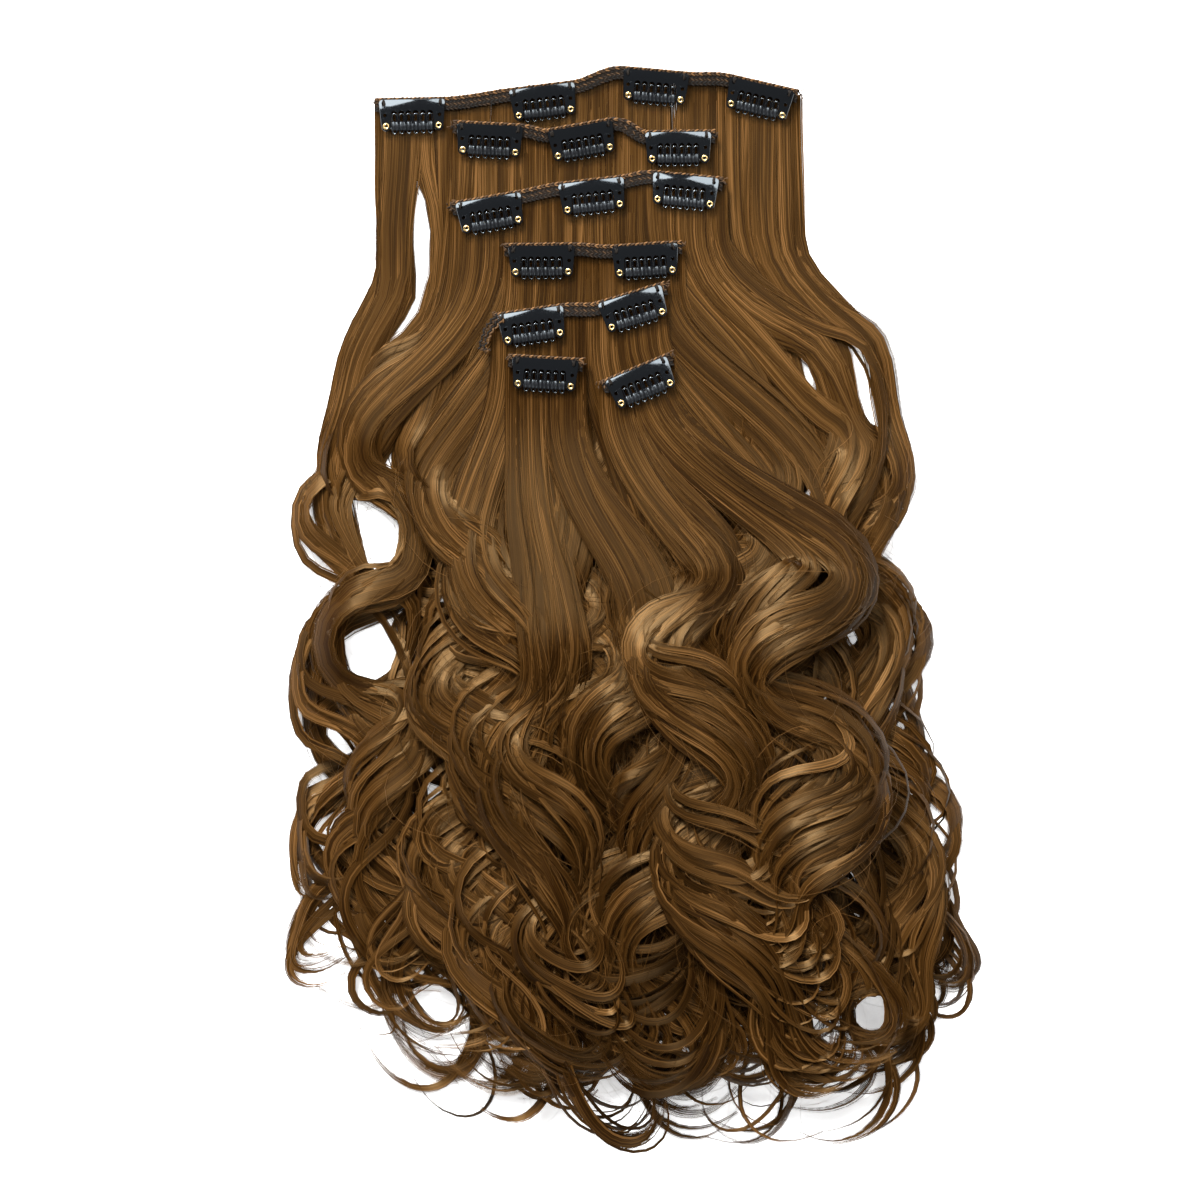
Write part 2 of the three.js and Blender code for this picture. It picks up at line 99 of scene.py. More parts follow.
# The section of its band: out from the lower edge and up from the underside
BAND_PROFILE = [(0.2, 0.2), (0, 0.6), (0.4, 1), (4.6, 1.1), (5.4, 1.6), (6.2, 1.6), (6.6, 0.9), (6, 0.1)]
BAND_STEP = 4
BAND_TONE = 0.05
# Each row of stitches: out from the band's lower edge, rise above its underside, slant, radius and tone
STITCH_ROWS = [
    dict(out=6.2, rise=1.75, slant=0.4, radius=0.5, tone=1.0),
    dict(out=5.2, rise=1.65, slant=-0.4, radius=0.45, tone=0.7),
    dict(out=4.0, rise=1.15, slant=0.7, radius=0.38, tone=0.0),
    dict(out=2.8, rise=1.1, slant=-0.7, radius=0.36, tone=0.35),
    dict(out=1.6, rise=1.1, slant=0.7, radius=0.38, tone=0.0),
    dict(out=0.4, rise=1.0, slant=-0.6, radius=0.4, tone=0.03),
]
# The black windings that tie each top corner of a clip
TIE = dict(
    windings=5, stray=0.5, up=(10.6, 12.4), above=0.15, lean=0.5, half_length=1.5, radius=0.42, tone=0.02,
)
# The knots at the ends of a track, and the short threads that any knot is made of
KNOT = dict(out=4.5, rise=1.2, size=1.1, threads=9)
KNOT_THREAD = dict(half_length=1.3, radius=0.4, tone=(0, 0.5), flat=0.4)
# The loose tail of a track: each row's place across and its tone, the stitches in a row, and its ends
TAIL_ROWS = ((-1.8, 0.5), (-0.6, 0), (0.6, 0.2), (1.8, 0))
TAIL_STITCHES = 12
TAIL = dict(weft=5, start=(-42, -114, 18), end=(-50, -129, 15.5), bulge=2, slant=9, wander=0.25)
TAIL_STITCH = dict(half_length=1.2, radius=0.55)
TAIL_KNOT = dict(size=1.2, threads=8)

# The hair: the length its wefts have shares of, the room it fills, and how thick one weft lies
HAIR_LENGTH = 635
HAIR_DROP = 520
HALF_SPREAD = 172
WAVE_REACH = 0.04 * HALF_SPREAD
ROOT_LAYER = 2.6
WAVY_LAYER = 5.4
LAYER_RISE = (160, 290)
LAYER_FALL = (400, 510)
LAYER_END_LOSS = 0.45
LAYER_SIDE_LOSS = 0.3
LOCK_WIDTH = 30
LOCK_SPREAD = 1.12
OUTLINE_EASE = 15
OUTLINE_SPOTS = 7
FLARE_START = 0.3
FLARE_DROP = 90
SWING_RAMP = 90
HOOK_LENGTH = 65
GAP = 0.3
FLOOR_GAP = 0.15
LOWEST = -518

# Each weft from the lowest up: hair length and straight part in shares of HAIR_LENGTH, then how many
# broad ribbons, thin wisps and single strands each of its locks has, and how light or dark it is.
WEFTS = [
    dict(length=0.98, straight=0.20, ribbons=6, wisps=16, strands=11, tone=0.05),
    dict(length=0.95, straight=0.17, ribbons=6, wisps=16, strands=11, tone=0),
    dict(length=0.89, straight=0.13, ribbons=6, wisps=16, strands=11, tone=-0.05),
    dict(length=0.83, straight=0.11, ribbons=7, wisps=20, strands=16, tone=-0.1),
    dict(length=0.77, straight=0.11, ribbons=7, wisps=22, strands=18, tone=-0.2),
    dict(length=0.73, straight=0.15, ribbons=9, wisps=40, strands=34, tone=-0.3),
    dict(length=0.72, straight=0.06, ribbons=9, wisps=40, strands=34, tone=-0.3),
]

# The outline of the hair: down in shares of HAIR_DROP, left and right in shares of HALF_SPREAD
OUTLINE = [
    dict(down=0, left=-0.58, right=0.62),
    dict(down=0.16, left=-0.57, right=0.65),
    dict(down=0.2, left=-0.66, right=0.76),
    dict(down=0.24, left=-0.75, right=0.87),
    dict(down=0.3, left=-0.78, right=0.93),
    dict(down=0.38, left=-0.82, right=0.94),
    dict(down=0.46, left=-0.8, right=1.02),
    dict(down=0.57, left=-0.8, right=0.96),
    dict(down=0.64, left=-0.79, right=1.07),
    dict(down=0.76, left=-0.78, right=1.08),
    dict(down=0.84, left=-0.86, right=1.2),
    dict(down=0.9, left=-0.74, right=1.25),
    dict(down=1, left=-0.6, right=1.15),
]

# Where each clip lies: across and down in clip widths and heights, turn and tip in degrees
CLIP_COLUMNS = ("weft", "across", "down", "turn", "tip")
CLIPS = [
    (1, -2.64, 1.17, 1.2, 5),
    (1, -0.64, 0.78, 7.1, 8),
    (1, 1.02, 0.34, -5.2, 12),
    (1, 2.57, 0.67, -13, 15),
    (2, -1.48, 1.87, -3.1, 13),
    (2, -0.05, 1.88, 10, 15),
    (2, 1.38, 2.11, 0.6, 6),
    (3, -1.43, 3.98, 9.9, 6),
    (3, 0.1, 3.5, 6.6, 5),
    (3, 1.46, 3.36, -5.5, 2),
    (4, -0.68, 5.32, 0.5, 14),
    (4, 0.89, 5.33, 3.5, 9),
    (5, -0.8, 7.2, 8.4, 3),
    (5, 0.75, 6.72, 17, 3),
    (6, -0.64, 8.55, -3.3, 12),
    (7, 0.88, 8.82, 22.6, 3),
]
CLIPS = [dict(zip(CLIP_COLUMNS, row)) for row in CLIPS]

# The locks from left to right in each weft: lane from -1 to 1 across the outline, swing, phase and hook in
# degrees, wave as a share of HAIR_LENGTH, short as the share of the weft's length that it lacks, and full
# as its width in shares of LOCK_WIDTH.
LOCK_COLUMNS = ("weft", "lane", "swing", "wave", "phase", "hook", "short", "full")
LOCKS = [
    (1, -1, 62, 0.19, 200, 100, 0.1, 0.55),
    (1, -0.67, 62, 0.18, 170, -80, 0.04, 0.9),
    (1, -0.33, 60, 0.2, 140, 90, 0.01, 1),
    (1, 0, 62, 0.21, 110, 100, 0, 1),
    (1, 0.34, 60, 0.2, 80, -90, 0.01, 1),
    (1, 0.68, 60, 0.18, 50, -100, 0.05, 0.8),
    (1, 1, 57, 0.19, 10, -100, 0.09, 0.55),
    (2, -0.88, 60, 0.18, 110, 90, 0.06, 0.75),
    (2, -0.46, 62, 0.2, 150, -80, 0.01, 1),
    (2, 0.02, 60, 0.21, 110, 100, 0, 1),
    (2, 0.46, 62, 0.2, 70, -90, 0.02, 1),
    (2, 0.88, 58, 0.18, 310, -85, 0.06, 0.75),
    (3, -0.96, 58, 0.19, 280, 90, 0.08, 0.75),
    (3, -0.5, 62, 0.2, 180, -90, 0.02, 1),
    (3, 0, 64, 0.2, 140, 100, 0, 1),
    (3, 0.5, 62, 0.2, 90, -80, 0.01, 1),
    (3, 0.94, 58, 0.19, 90, -90, 0.07, 0.8),
    (4, -0.66, 62, 0.19, 200, 80, 0.03, 1),
    (4, -0.22, 60, 0.2, 160, -90, 0, 1),
    (4, 0.24, 60, 0.2, 110, 90, 0, 1),
    (4, 0.7, 60, 0.2, 50, -80, 0.03, 1),
    (5, -0.5, 60, 0.19, 210, -90, 0.02, 1),
    (5, -0.17, 62, 0.2, 170, 80, 0, 1),
    (5, 0.18, 60, 0.2, 120, 90, 0, 1),
    (5, 0.54, 60, 0.21, 60, -80, 0.01, 1),
    (6, -0.28, 62, 0.21, 20, 90, 0, 1),
    (6, 0.08, 58, 0.22, 10, -90, 0.03, 1),
    (7, 0.34, 58, 0.21, 60, 80, 0, 1),
    (7, 0.72, 60, 0.22, 40, -100, 0.02, 1),
]
LOCKS = [dict(zip(LOCK_COLUMNS, row)) for row in LOCKS]

# Where the hair curves round a hole and the floor shows: across and down, and half sizes, in millimetres
HOLES = [
    dict(across=-79, down=74, wide=4.5, high=30),
    dict(across=-98, down=219, wide=9, high=15),
    dict(across=-106, down=272, wide=13, high=16),
    dict(across=134, down=146, wide=3.5, high=15),
    dict(across=108, down=140, wide=3, high=9),
    dict(across=-71, down=446, wide=8, high=8),
    dict(across=137, down=449, wide=8, high=8),
]
# How the fibres bend round them. They are gone through twice, as one bend can lead into the next hole.
# The margin is how much of a fibre's own half width is kept free too. Swell, fade and limit say how the
# hair beside a hole gives way, and reach how far along a fibre the bend spreads, in sizes of the hole.
HOLE_ROUNDS = 2
HOLE_MARGIN = 0.6
HOLE_SWELL = 0.35
HOLE_FADE = 0.3
HOLE_LIMIT = 2.2
HOLE_REACH = 1.2
# The share that stays of what sticks out of the outline, and how often each route is evened out
OUTSIDE = 0.35
EASING = 22
# How far towards the centre of a bend its inner fibres may lie, as a share of the bend's radius
TIGHTEST = 0.75

# How the wisps and strands fill a lock. Spreads are one standard deviation, angles are in radians.
ROUTE_POINTS = 260
CLUMPS = 4
CLUMP_SPREAD = dict(phase=0.55, wave=0.03, swing=0.18, lane=0.06)
RIBBON_SPREAD = dict(phase=0.05, wave=0.004, swing=0.03, lane=0.005)
WISP_SPREAD = dict(phase=0.2, wave=0.012, swing=0.1, lane=0.015)
STRAND_SPREAD = dict(phase=0.5, wave=0.03, swing=0.2, lane=0.04)
CLUMP_EDGE = 0.93
CLUMP_SCATTER = 0.05
CLUMP_LEVEL = 1.4
CLUMP_SHORT = (0, 0.1)
HOOK_TURN = (1.4, 2.3)
HOOK_SCATTER = 0.15
FIBRE_LEVEL = 0.9
FLIP = (0.1, 0.35)
PLACE_LIMIT = 1.1
FRIZZ = dict(bend=(0.1, 0.5), curl=(40, 130), shift=9)
FRIZZ_RANGE = (20, 160)
# Fibres go their own ways from this share of the straight part to this share of HAIR_LENGTH, and the shift
# in phase is what each has before that
ASTRAY_START = 0.6
ASTRAY_END = 0.75
EARLY_SHIFT = 0.4
RIBBON_ANGLES = np.radians([0, 50, 90, 130, 180, 270])
WISP_ANGLES = np.radians([0, 90, 180, 270])
STRAND_ANGLES = np.radians([30, 150, 270])
RIBBON_STATIONS = 76
WISP_STATIONS = 70
STRAND_STATIONS = 84
# The shares of the stations that lie in the straight part and in the hook
STRAIGHT_STATIONS = 0.13
HOOK_STATIONS = 0.2
RIBBON_HALF_WIDTH = (4, 9)
RIBBON_THINNESS = 0.1
WISP_HALF_WIDTH = (0.7, 2.8)
WISP_THINNESS = 0.08
STRAND_RADIUS = (0.06, 0.13)
HELIX_RISE = 4
LOCK_ARCH = 2.2
TILT = 0.6
FAN = 0.3
OWN_LEAN = 0.22
THINNEST = 0.08
THIN_ROOT = 0.3
# How much of the level among its fibres a lock keeps at its root, and how its coil gets lower at the tip
ROOT_LEVEL = 0.2
COIL_TIP = dict(height=0.5, start=0.7)
# A lock takes its own width from this far below the track to this far below its straight part
WIDTH_START = 40
WIDTH_END = 60
# The share of a fibre's half width that stays inside its lock's edge
EDGE_ROOM = 0.8
# A side direction is kept where the bent route would turn it by nearly a right angle or more
SIDE_AGREES = 0.2
TIP_WIDTH = 0.3
TIP_START = 0.9
LOCK_TIP = dict(width=0.4, start=0.65)
STRAND_TIP = dict(width=0.4, start=0.8)
# The ranges along a fibre, in millimetres, in which its bundle leans, widens and thickens, and the shares
# of its length between which the bundle splits
LEAN_RANGE = (60, 200)
WIDEN_RANGE = (0, 120)
THICKEN_RANGE = (0, 200)
SPLIT_RANGE = (0.35, 0.8)
# Streaks start at a random place, so that no two bundles look alike
STREAK_SHIFT = 400
# The roots: over how much hair they settle into the lock, how dark and over what range they are painted as
# shade from the track, and how far two locks overlap there
ROOT_BLEND = 80
ROOT_PAINTED_SHADE = -0.2
ROOT_SHADE = (40, 260)
ROOT_OVERLAP = 1.2
# A ribbon's half width at its root as a multiple of its own, and the most of the lock's part of the track
ROOT_WIDER = 1.25
ROOT_MOST = 0.48
# Where on the track's depth the roots start, and how they climb with a tipped track
ROOT_UP = 0.6
ROOT_CLIMB = 0.3
CLIMB_RANGE = (0, 14)
FIBRE_LOWEST = 0.6

# The kinds of fibre bundle. Scatter and ragged say how far they stray across the lock and in length, rise
# how high they lie, split how wide they are in the waves, feather where along them their ends thin out, and
# tone how light they are.
RIBBON = dict(
    spread=RIBBON_SPREAD, scatter=0.08, ragged=0.04, half_width=RIBBON_HALF_WIDTH, thinness=RIBBON_THINNESS,
    rise=0, stations=RIBBON_STATIONS, angles=RIBBON_ANGLES, split=0.7, feather=0.78,
    tone=(0.2, 0.6),
)
WISP = dict(
    spread=WISP_SPREAD, scatter=0.25, ragged=0.05, half_width=WISP_HALF_WIDTH, thinness=WISP_THINNESS,
    rise=1, stations=WISP_STATIONS, angles=WISP_ANGLES, split=1.2, feather=0.88,
    tone=(0.1, 0.75),
)
STRAND = dict(
    spread=STRAND_SPREAD, scatter=0.35, ragged=0.08, half_width=STRAND_RADIUS,
    rise=(0.5, 2.2), stations=STRAND_STATIONS, angles=STRAND_ANGLES, tone=(0.2, 1.2),
)
# The share of the strands that stray from their lock, how far, and the share that cross the holes
STRAY = dict(share=0.35, lane=0.05)
CROSSING = dict(share=0.1, clear=0.3)

# The view: the photo's frame in pixels, the size of one pixel, and where the frame's middle lies
FRAME_PIXELS = 1200
PIXEL = 0.485
VIEW_WIDTH = FRAME_PIXELS * PIXEL
VIEW_MIDDLE = (6.3, -249.7)
CAMERA_HEIGHT = 2600
SENSOR_WIDTH = 36

# The lights, with places and sizes in metres and powers in watts. The two softboxes show in the clips' top
# bands, and the key light from the tracks' side makes the waves' crests shine.
LIGHTS = [
    dict(name="left softbox", place=(-0.6, 0.45, 1.5), size=(0.7, 0.8), power=18),
    dict(name="right softbox", place=(0.6, 0.45, 1.5), size=(0.7, 0.8), power=15),
    dict(name="key softbox", place=(-1.0, 2.4, 2.5), size=(1.3, 1.1), power=435),
    dict(name="fill softbox", place=(0.4, -2.4, 1.6), size=(1.2, 1.0), power=25),
]
STUDIO_LIGHT = 0.14
FLOOR_HALF = 4.0
FLOOR_WHITE = 0.97
FLOOR_GLOW = 0.5

# Colours are linear red, green and blue. Each ramp lists positions and colours.
HAIR_RAMP = [(0.36, (0.0085, 0.003, 0.0005)), (0.68, (0.036, 0.0155, 0.0032)), (1.0, (0.11, 0.052, 0.016))]
HAIR_GLOSS = (1, 0.63, 0.28)
THREAD_RAMP = [(0, (0.008, 0.007, 0.006)), (1, (0.17, 0.085, 0.032))]
CLIP_GLOSS = (0.82, 0.93, 1)
# The group inputs: the widths and the length of the hair's streaks in millimetres, and the clips' wear
STREAK_SIZES = (("Fine Width", 0.36), ("Broad Width", 4.0), ("Streak Length", 110.0))
WEAR_VALUES = (("Smooth", 0.15), ("Rough", 0.3), ("Size", 900.0))
STEEL = dict(color=(0.002, 0.0022, 0.0028), metallic=0, roughness=(0.05, 0.11), bump=0.01, specular=0.95)
RUBBER = dict(color=(0.006, 0.006, 0.007), metallic=0, roughness=(0.3, 0.45), bump=0.05, specular=0.5)
BRASS = dict(color=(0.83, 0.6, 0.27), metallic=1, roughness=(0.2, 0.35), bump=0.02, specular=0.5)

random = np.random.default_rng(27)


# Small helpers

def smooth(value, low, high):
    share = np.clip((value - low) / (high - low), 0, 1)
    return share * share * (3 - 2 * share)


def mix(a, b, share):
    return a + (b - a) * share


def column(values):
    """A row of values as a column, one value for each fibre."""
    return np.asarray(values, dtype=float)[:, None]


def add_object(name, mesh, replaced):
    piece = bpy.data.objects.new(name, mesh)
    bpy.context.scene.collection.objects.link(piece)
    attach(piece, "root")
    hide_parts(replaced)
    return piece


def mesh_from_arrays(name, points, faces, smooth_faces, borders, uv, values):
    """A mesh from points in millimetres and arrays of faces, each array with one number of corners.
    smooth_faces says of each array whether it is shaded smooth, and borders of each point whether it lies on
    a flat bundle's sharp border. uv holds a pair for each point, and values holds rows of values by name."""
    mesh = bpy.data.meshes.new(name)
    mesh.vertices.add(len(points))
    mesh.vertices.foreach_set("co", (np.asarray(points, dtype=np.float32) * MM).ravel())
    corners = np.concatenate([array.ravel() for array in faces]).astype(np.int32)
    sizes = np.concatenate([np.full(len(array), array.shape[1]) for array in faces])
    starts = np.concatenate([[0], np.cumsum(sizes)[:-1]]).astype(np.int32)
    mesh.loops.add(len(corners))
    mesh.loops.foreach_set("vertex_index", corners)
    mesh.polygons.add(len(sizes))
    mesh.polygons.foreach_set("loop_start", starts)
    mesh.update(calc_edges=True)
    smooth_marks = np.concatenate([np.full(len(array), mark) for array, mark in zip(faces, smooth_faces)])
    mesh.polygons.foreach_set("use_smooth", smooth_marks)
    ends = np.empty(2 * len(mesh.edges), dtype=np.int32)
    mesh.edges.foreach_get("vertices", ends)
    mesh.edges.foreach_set("use_edge_sharp", borders[ends].reshape(-1, 2).all(axis=1))
    layer = mesh.uv_layers.new(name="fibre")
    layer.data.foreach_set("uv", np.asarray(uv, dtype=np.float32)[corners].ravel())
    for title, row in values.items():
        attribute = mesh.attributes.new(title, "FLOAT", "POINT")
        attribute.data.foreach_set("value", np.asarray(row, dtype=np.float32))
    mesh.validate()
    return mesh


class Builder:
    """Gathers rings of points into closed tubes of one mesh."""

    def __init__(self):
        self.points = []
        self.faces = []
        self.smooth = []
        self.borders = []
        self.uvs = []
        self.tones = []
        self.covers = []
        self.count = 0

    def tubes(self, rings, tone=0.0, uv=None, loop=False, cover=1.0, border=False):
        """rings is shaped (tubes, stations, sides, 3). A loop joins each tube's ends to each other.
        cover is 1 where the fibres lie close together and 0 where the bundle thins out. border marks the
        sides of a ring that lie on its sharp borders."""
        tubes, stations, sides = rings.shape[:3]
        tube = np.arange(tubes)[:, None, None] * stations * sides + self.count
        station = np.arange(stations if loop else stations - 1)[None, :, None]
        side = np.arange(sides)[None, None, :]
        turn = (side + 1) % sides
        here = tube + station * sides
        there = tube + (station + 1) % stations * sides
        quads = np.stack([here + side, here + turn, there + turn, there + side], axis=-1)
        self.faces.append(quads.reshape(-1, 4))
        self.smooth.append(True)
        if not loop:
            start = np.arange(tubes)[:, None] * stations * sides + self.count
            self.faces.append(start + np.arange(sides)[::-1][None, :])
            self.faces.append(start + (stations - 1) * sides + np.arange(sides)[None, :])
            self.smooth.extend([False, False])
        self.points.append(rings.reshape(-1, 3))
        shape = rings.shape[:3]
        self.tones.append(np.broadcast_to(tone, shape).reshape(-1))
        self.covers.append(np.broadcast_to(cover, shape).reshape(-1))
        self.borders.append(np.broadcast_to(border, shape).reshape(-1))
        self.uvs.append(np.zeros((rings[..., 0].size, 2)) if uv is None else uv.reshape(-1, 2))
        self.count += tubes * stations * sides

    def mesh(self, name):
        return mesh_from_arrays(
            name,
            np.concatenate(self.points),
            self.faces,
            self.smooth,
            np.concatenate(self.borders),
            np.concatenate(self.uvs),
            dict(tone=np.concatenate(self.tones), cover=np.concatenate(self.covers)),
        )


def unit(vectors):
    return vectors / np.linalg.norm(vectors, axis=-1, keepdims=True)


def tube_rings(paths, radius, sides=6, loop=False):
    """Round rings along paths shaped (tubes, stations, 3)."""
    if loop:
        along = np.roll(paths, -1, axis=1) - np.roll(paths, 1, axis=1)
    else:
        along = np.gradient(paths, axis=1)
    along = unit(along)
    up = np.array([0, 0, 1.0])
    side = np.cross(along, up)
    weak = np.linalg.norm(side, axis=-1, keepdims=True) < 0.05
    side = unit(np.where(weak, np.array([1.0, 0, 0]), side))
    over = np.cross(side, along)
    angle = np.arange(sides) / sides * 2 * np.pi
    ring = side[:, :, None] * np.cos(angle)[:, None] + over[:, :, None] * np.sin(angle)[:, None]
    return paths[:, :, None] + ring * np.asarray(radius)[..., None, None]


def bead_rings(centres, along, half_length, radius, sides=5):
    """Long round beads, such as the stitches of a seam."""
    slope = np.radians([-78, -30, 30, 78])
    paths = centres[:, None] + unit(along)[:, None] * (half_length * np.sin(slope))[:, None]
    return tube_rings(paths, np.broadcast_to(radius * np.cos(slope), paths.shape[:2]), sides)


# Where the tracks and clips lie

def clips_of(weft):
    return [clip for clip in CLIPS if clip["weft"] == weft]


def clip_middle(clip):
    return np.array([clip["across"] * CLIP_WIDTH, -clip["down"] * CLIP_HEIGHT])


def clip_directions(clip):
    turn = math.radians(clip["turn"])
    return np.array([math.cos(turn), math.sin(turn)]), np.array([-math.sin(turn), math.cos(turn)])


class TrackLine:
    """The line of a track's lower edge: straight behind its clips with easy curves between them."""

    def __init__(self, weft):
        points, headings, tips = [], [], []
        clips = clips_of(weft)
        for index, clip in enumerate(clips):
            across, up = clip_directions(clip)
            tip = math.radians(clip["tip"])
            reach = (EYELET_DROP + TRACK_ABOVE_CLIP - TRACK_DEPTH) * math.cos(tip)
            foot = clip_middle(clip) + up * reach
            start = CLIP_WIDTH / 2 + (TRACK_OVERHANG if index == 0 else 0)
            end = CLIP_WIDTH / 2 + (TRACK_OVERHANG if index == len(clips) - 1 else 0)
            for along in (-start, end):
                points.append(foot + across * along)
                headings.append(across)
                tips.append(tip)
        self.points = np.array(points)
        self.headings = np.array(headings)
        self.tips = np.array(tips)
        spans = np.linalg.norm(np.diff(self.points, axis=0), axis=1)
        self.marks = np.concatenate([[0], np.cumsum(spans)])
        self.length = self.marks[-1]

    def at(self, share):
        """Points, directions across and up, and tips at shares of the line's length."""
        place = np.clip(np.asarray(share, dtype=float), 0, 1) * self.length
        span = np.clip(np.searchsorted(self.marks, place, side="right") - 1, 0, len(self.marks) - 2)
        size = (self.marks[span + 1] - self.marks[span])[..., None]
        t = (place - self.marks[span])[..., None] / size
        a, b = self.points[span], self.points[span + 1]
        ta, tb = self.headings[span] * size, self.headings[span + 1] * size
        point = (2 * t**3 - 3 * t**2 + 1) * a + (t**3 - 2 * t**2 + t) * ta
        point = point + (-2 * t**3 + 3 * t**2) * b + (t**3 - t**2) * tb
        heading = (6 * t**2 - 6 * t) * (a - b) + (3 * t**2 - 4 * t + 1) * ta + (3 * t**2 - 2 * t) * tb
        across = unit(heading / size)
        up = np.stack([-across[..., 1], across[..., 0]], axis=-1)
        tip = mix(self.tips[span], self.tips[span + 1], t[..., 0])
        return point, across, up, tip


LINES = {weft: TrackLine(weft) for weft in range(1, len(WEFTS) + 1)}


def layer_depth(x, y):
    """How thick one weft's hair lies at a place."""
    fall = 1 - LAYER_END_LOSS * smooth(-y, *LAYER_FALL)
    side = 1 - LAYER_SIDE_LOSS * np.minimum(1, (x / (2 * HALF_SPREAD)) ** 2)
    return ROOT_LAYER + (WAVY_LAYER - ROOT_LAYER) * smooth(-y, *LAYER_RISE) * fall * side


def height_in(weft, x, y, share):
    depth = layer_depth(x, y)
    return (weft - 1) * depth + share * (depth - GAP)


def track_lift(tip):
    return GAP + (TRACK_DEPTH / 2 + BAR_DEPTH) * np.sin(tip)


def on_track(weft, share, out, rise):
    """Points at a distance out from the track's lower edge and a height above its underside."""
    foot, _, up, tip = LINES[weft].at(share)
    flat = out * np.cos(tip) - rise * np.sin(tip)
    high = out * np.sin(tip) + rise * np.cos(tip)
    x = foot[..., 0] + up[..., 0] * flat
    y = foot[..., 1] + up[..., 1] * flat
    z = height_in(weft, foot[..., 0], foot[..., 1], 1) + track_lift(tip) + high
    return np.stack([x, y, z], axis=-1)


def clip_matrix(clip):
    """The clip's own frame: origin on the plate's underside between the eyelets, in millimetres."""
    _, up = clip_directions(clip)
    tip = math.radians(clip["tip"])
    reach = EYELET_DROP + TRACK_ABOVE_CLIP - TRACK_DEPTH
    foot = clip_middle(clip) + up * reach * math.cos(tip)
    base = float(height_in(clip["weft"], foot[0], foot[1], 1) + track_lift(tip))
    above = TRACK_BEAD + GAP
    middle = clip_middle(clip) - up * above * math.sin(tip)
    place = Vector((middle[0], middle[1], base - reach * math.sin(tip) + above * math.cos(tip)))
    turned = Matrix.Rotation(math.radians(clip["turn"]), 4, "Z") @ Matrix.Rotation(tip, 4, "X")
    return Matrix.Translation(place) @ turned


def place_by(matrix, points):
    """Points in a clip's frame turned into the scene's."""
    turn = np.array(matrix.to_3x3())
    return points @ turn.T + np.array(matrix.translation)


def clip_bow(x):
    return PLATE_BOW * (1 - (x / (CLIP_WIDTH / 2)) ** 2)


# Hair: the routes of the fibres in a lock

def outline_at(down, edge):
    """The outline's edge with its corners rounded off."""
    downs = [row["down"] * HAIR_DROP for row in OUTLINE]
    edges = [row[edge] * HALF_SPREAD for row in OUTLINE]
    spots = np.linspace(-OUTLINE_EASE, OUTLINE_EASE, OUTLINE_SPOTS)
    return sum(np.interp(down + spot, downs, edges) for spot in spots) / len(spots)


def round_holes(x, y, along, half):
    """Bends each fibre out of the holes, to the side where it passes, with some of its own width."""
    fibre = np.arange(len(x))[:, None]
    for hole in HOLES * HOLE_ROUNDS:
        wide, high = hole["wide"] + HOLE_MARGIN * half, hole["high"] + HOLE_MARGIN * half
        off_x, off_y = (x - hole["across"]) / wide, (y + hole["down"]) / high
        distance = np.hypot(off_x, off_y)
        nearest = distance.argmin(axis=1)[:, None]
        miss = distance[fibre, nearest] + 1e-3
        push = np.maximum(0, 1 - miss) + HOLE_SWELL * np.exp(-((miss - 1) ** 2) / HOLE_FADE)
        push = np.where(miss < HOLE_LIMIT, push, 0)
        apart = (along - along[fibre, nearest]) / (0.5 * (wide + high))
        push = push * np.exp(-((apart / HOLE_REACH) ** 2))
        x = x + off_x[fibre, nearest] / miss * wide * push
        y = y + off_y[fibre, nearest] / miss * high * push
    return x, y


def eased(values):
    """Evens out the kinks along each fibre."""
    values = values.copy()
    for _ in range(EASING):
        values[:, 1:-1] = (values[:, :-2] + 2 * values[:, 1:-1] + values[:, 2:]) / 4
    return values


def inside_outline(x, y):
    """Draws in what sticks out of the outline."""
    left, right = outline_at(-y, "left"), outline_at(-y, "right")
    x = np.where(x < left, left + (x - left) * OUTSIDE, x)
    return np.where(x > right, right + (x - right) * OUTSIDE, x)


def lane_at(lane, down):
    room = 0.5 * LOCK_WIDTH + WAVE_REACH * smooth(down, 0, FLARE_DROP)
    return mix(outline_at(down, "left") + room, outline_at(down, "right") - room, (lane + 1) / 2)


def siblings_of(lock):
    return [other for other in LOCKS if other["weft"] == lock["weft"]]


def lock_clumps():
    """Where each clump lies across its lock and how it strays from the lock's own route."""
    places = np.linspace(-CLUMP_EDGE, CLUMP_EDGE, CLUMPS)
    clumps = {name: random.normal(0, spread, CLUMPS) for name, spread in CLUMP_SPREAD.items()}
    clumps["place"] = np.clip(places + random.normal(0, CLUMP_SCATTER, CLUMPS), -1, 1)
    clumps["level"] = random.uniform(-CLUMP_LEVEL, CLUMP_LEVEL, CLUMPS)
    clumps["short"] = random.uniform(*CLUMP_SHORT, CLUMPS)
    clumps["hook"] = random.uniform(*HOOK_TURN, CLUMPS)
    return clumps


def fibres_in(clumps, count, kind):
    """The own values of many fibres, those of one clump nearly alike."""
    clump = np.arange(count) % CLUMPS
    own = {}
    for name, spread in kind["spread"].items():
        own[name] = clumps[name][clump] + random.normal(0, spread, count)
    place = clumps["place"][clump] + random.normal(0, kind["scatter"], count)
    own["place"] = np.clip(place, -PLACE_LIMIT, PLACE_LIMIT)
    own["level"] = clumps["level"][clump] + random.uniform(-FIBRE_LEVEL, FIBRE_LEVEL, count)
    own["short"] = clumps["short"][clump] + random.uniform(0, kind["ragged"], count)
    own["hook"] = clumps["hook"][clump] + random.normal(0, HOOK_SCATTER, count)
    own["flip"] = random.uniform(*FLIP, count)
    own["half"] = random.uniform(*kind["half_width"], count)
    own["clear"] = np.ones(count)
    own["bend"] = np.zeros(count)
    own["curl"] = np.ones(count)
    return own


def slot_share(lock):
    """The share of its track that the lock has to itself."""
    return 1 / len(siblings_of(lock))


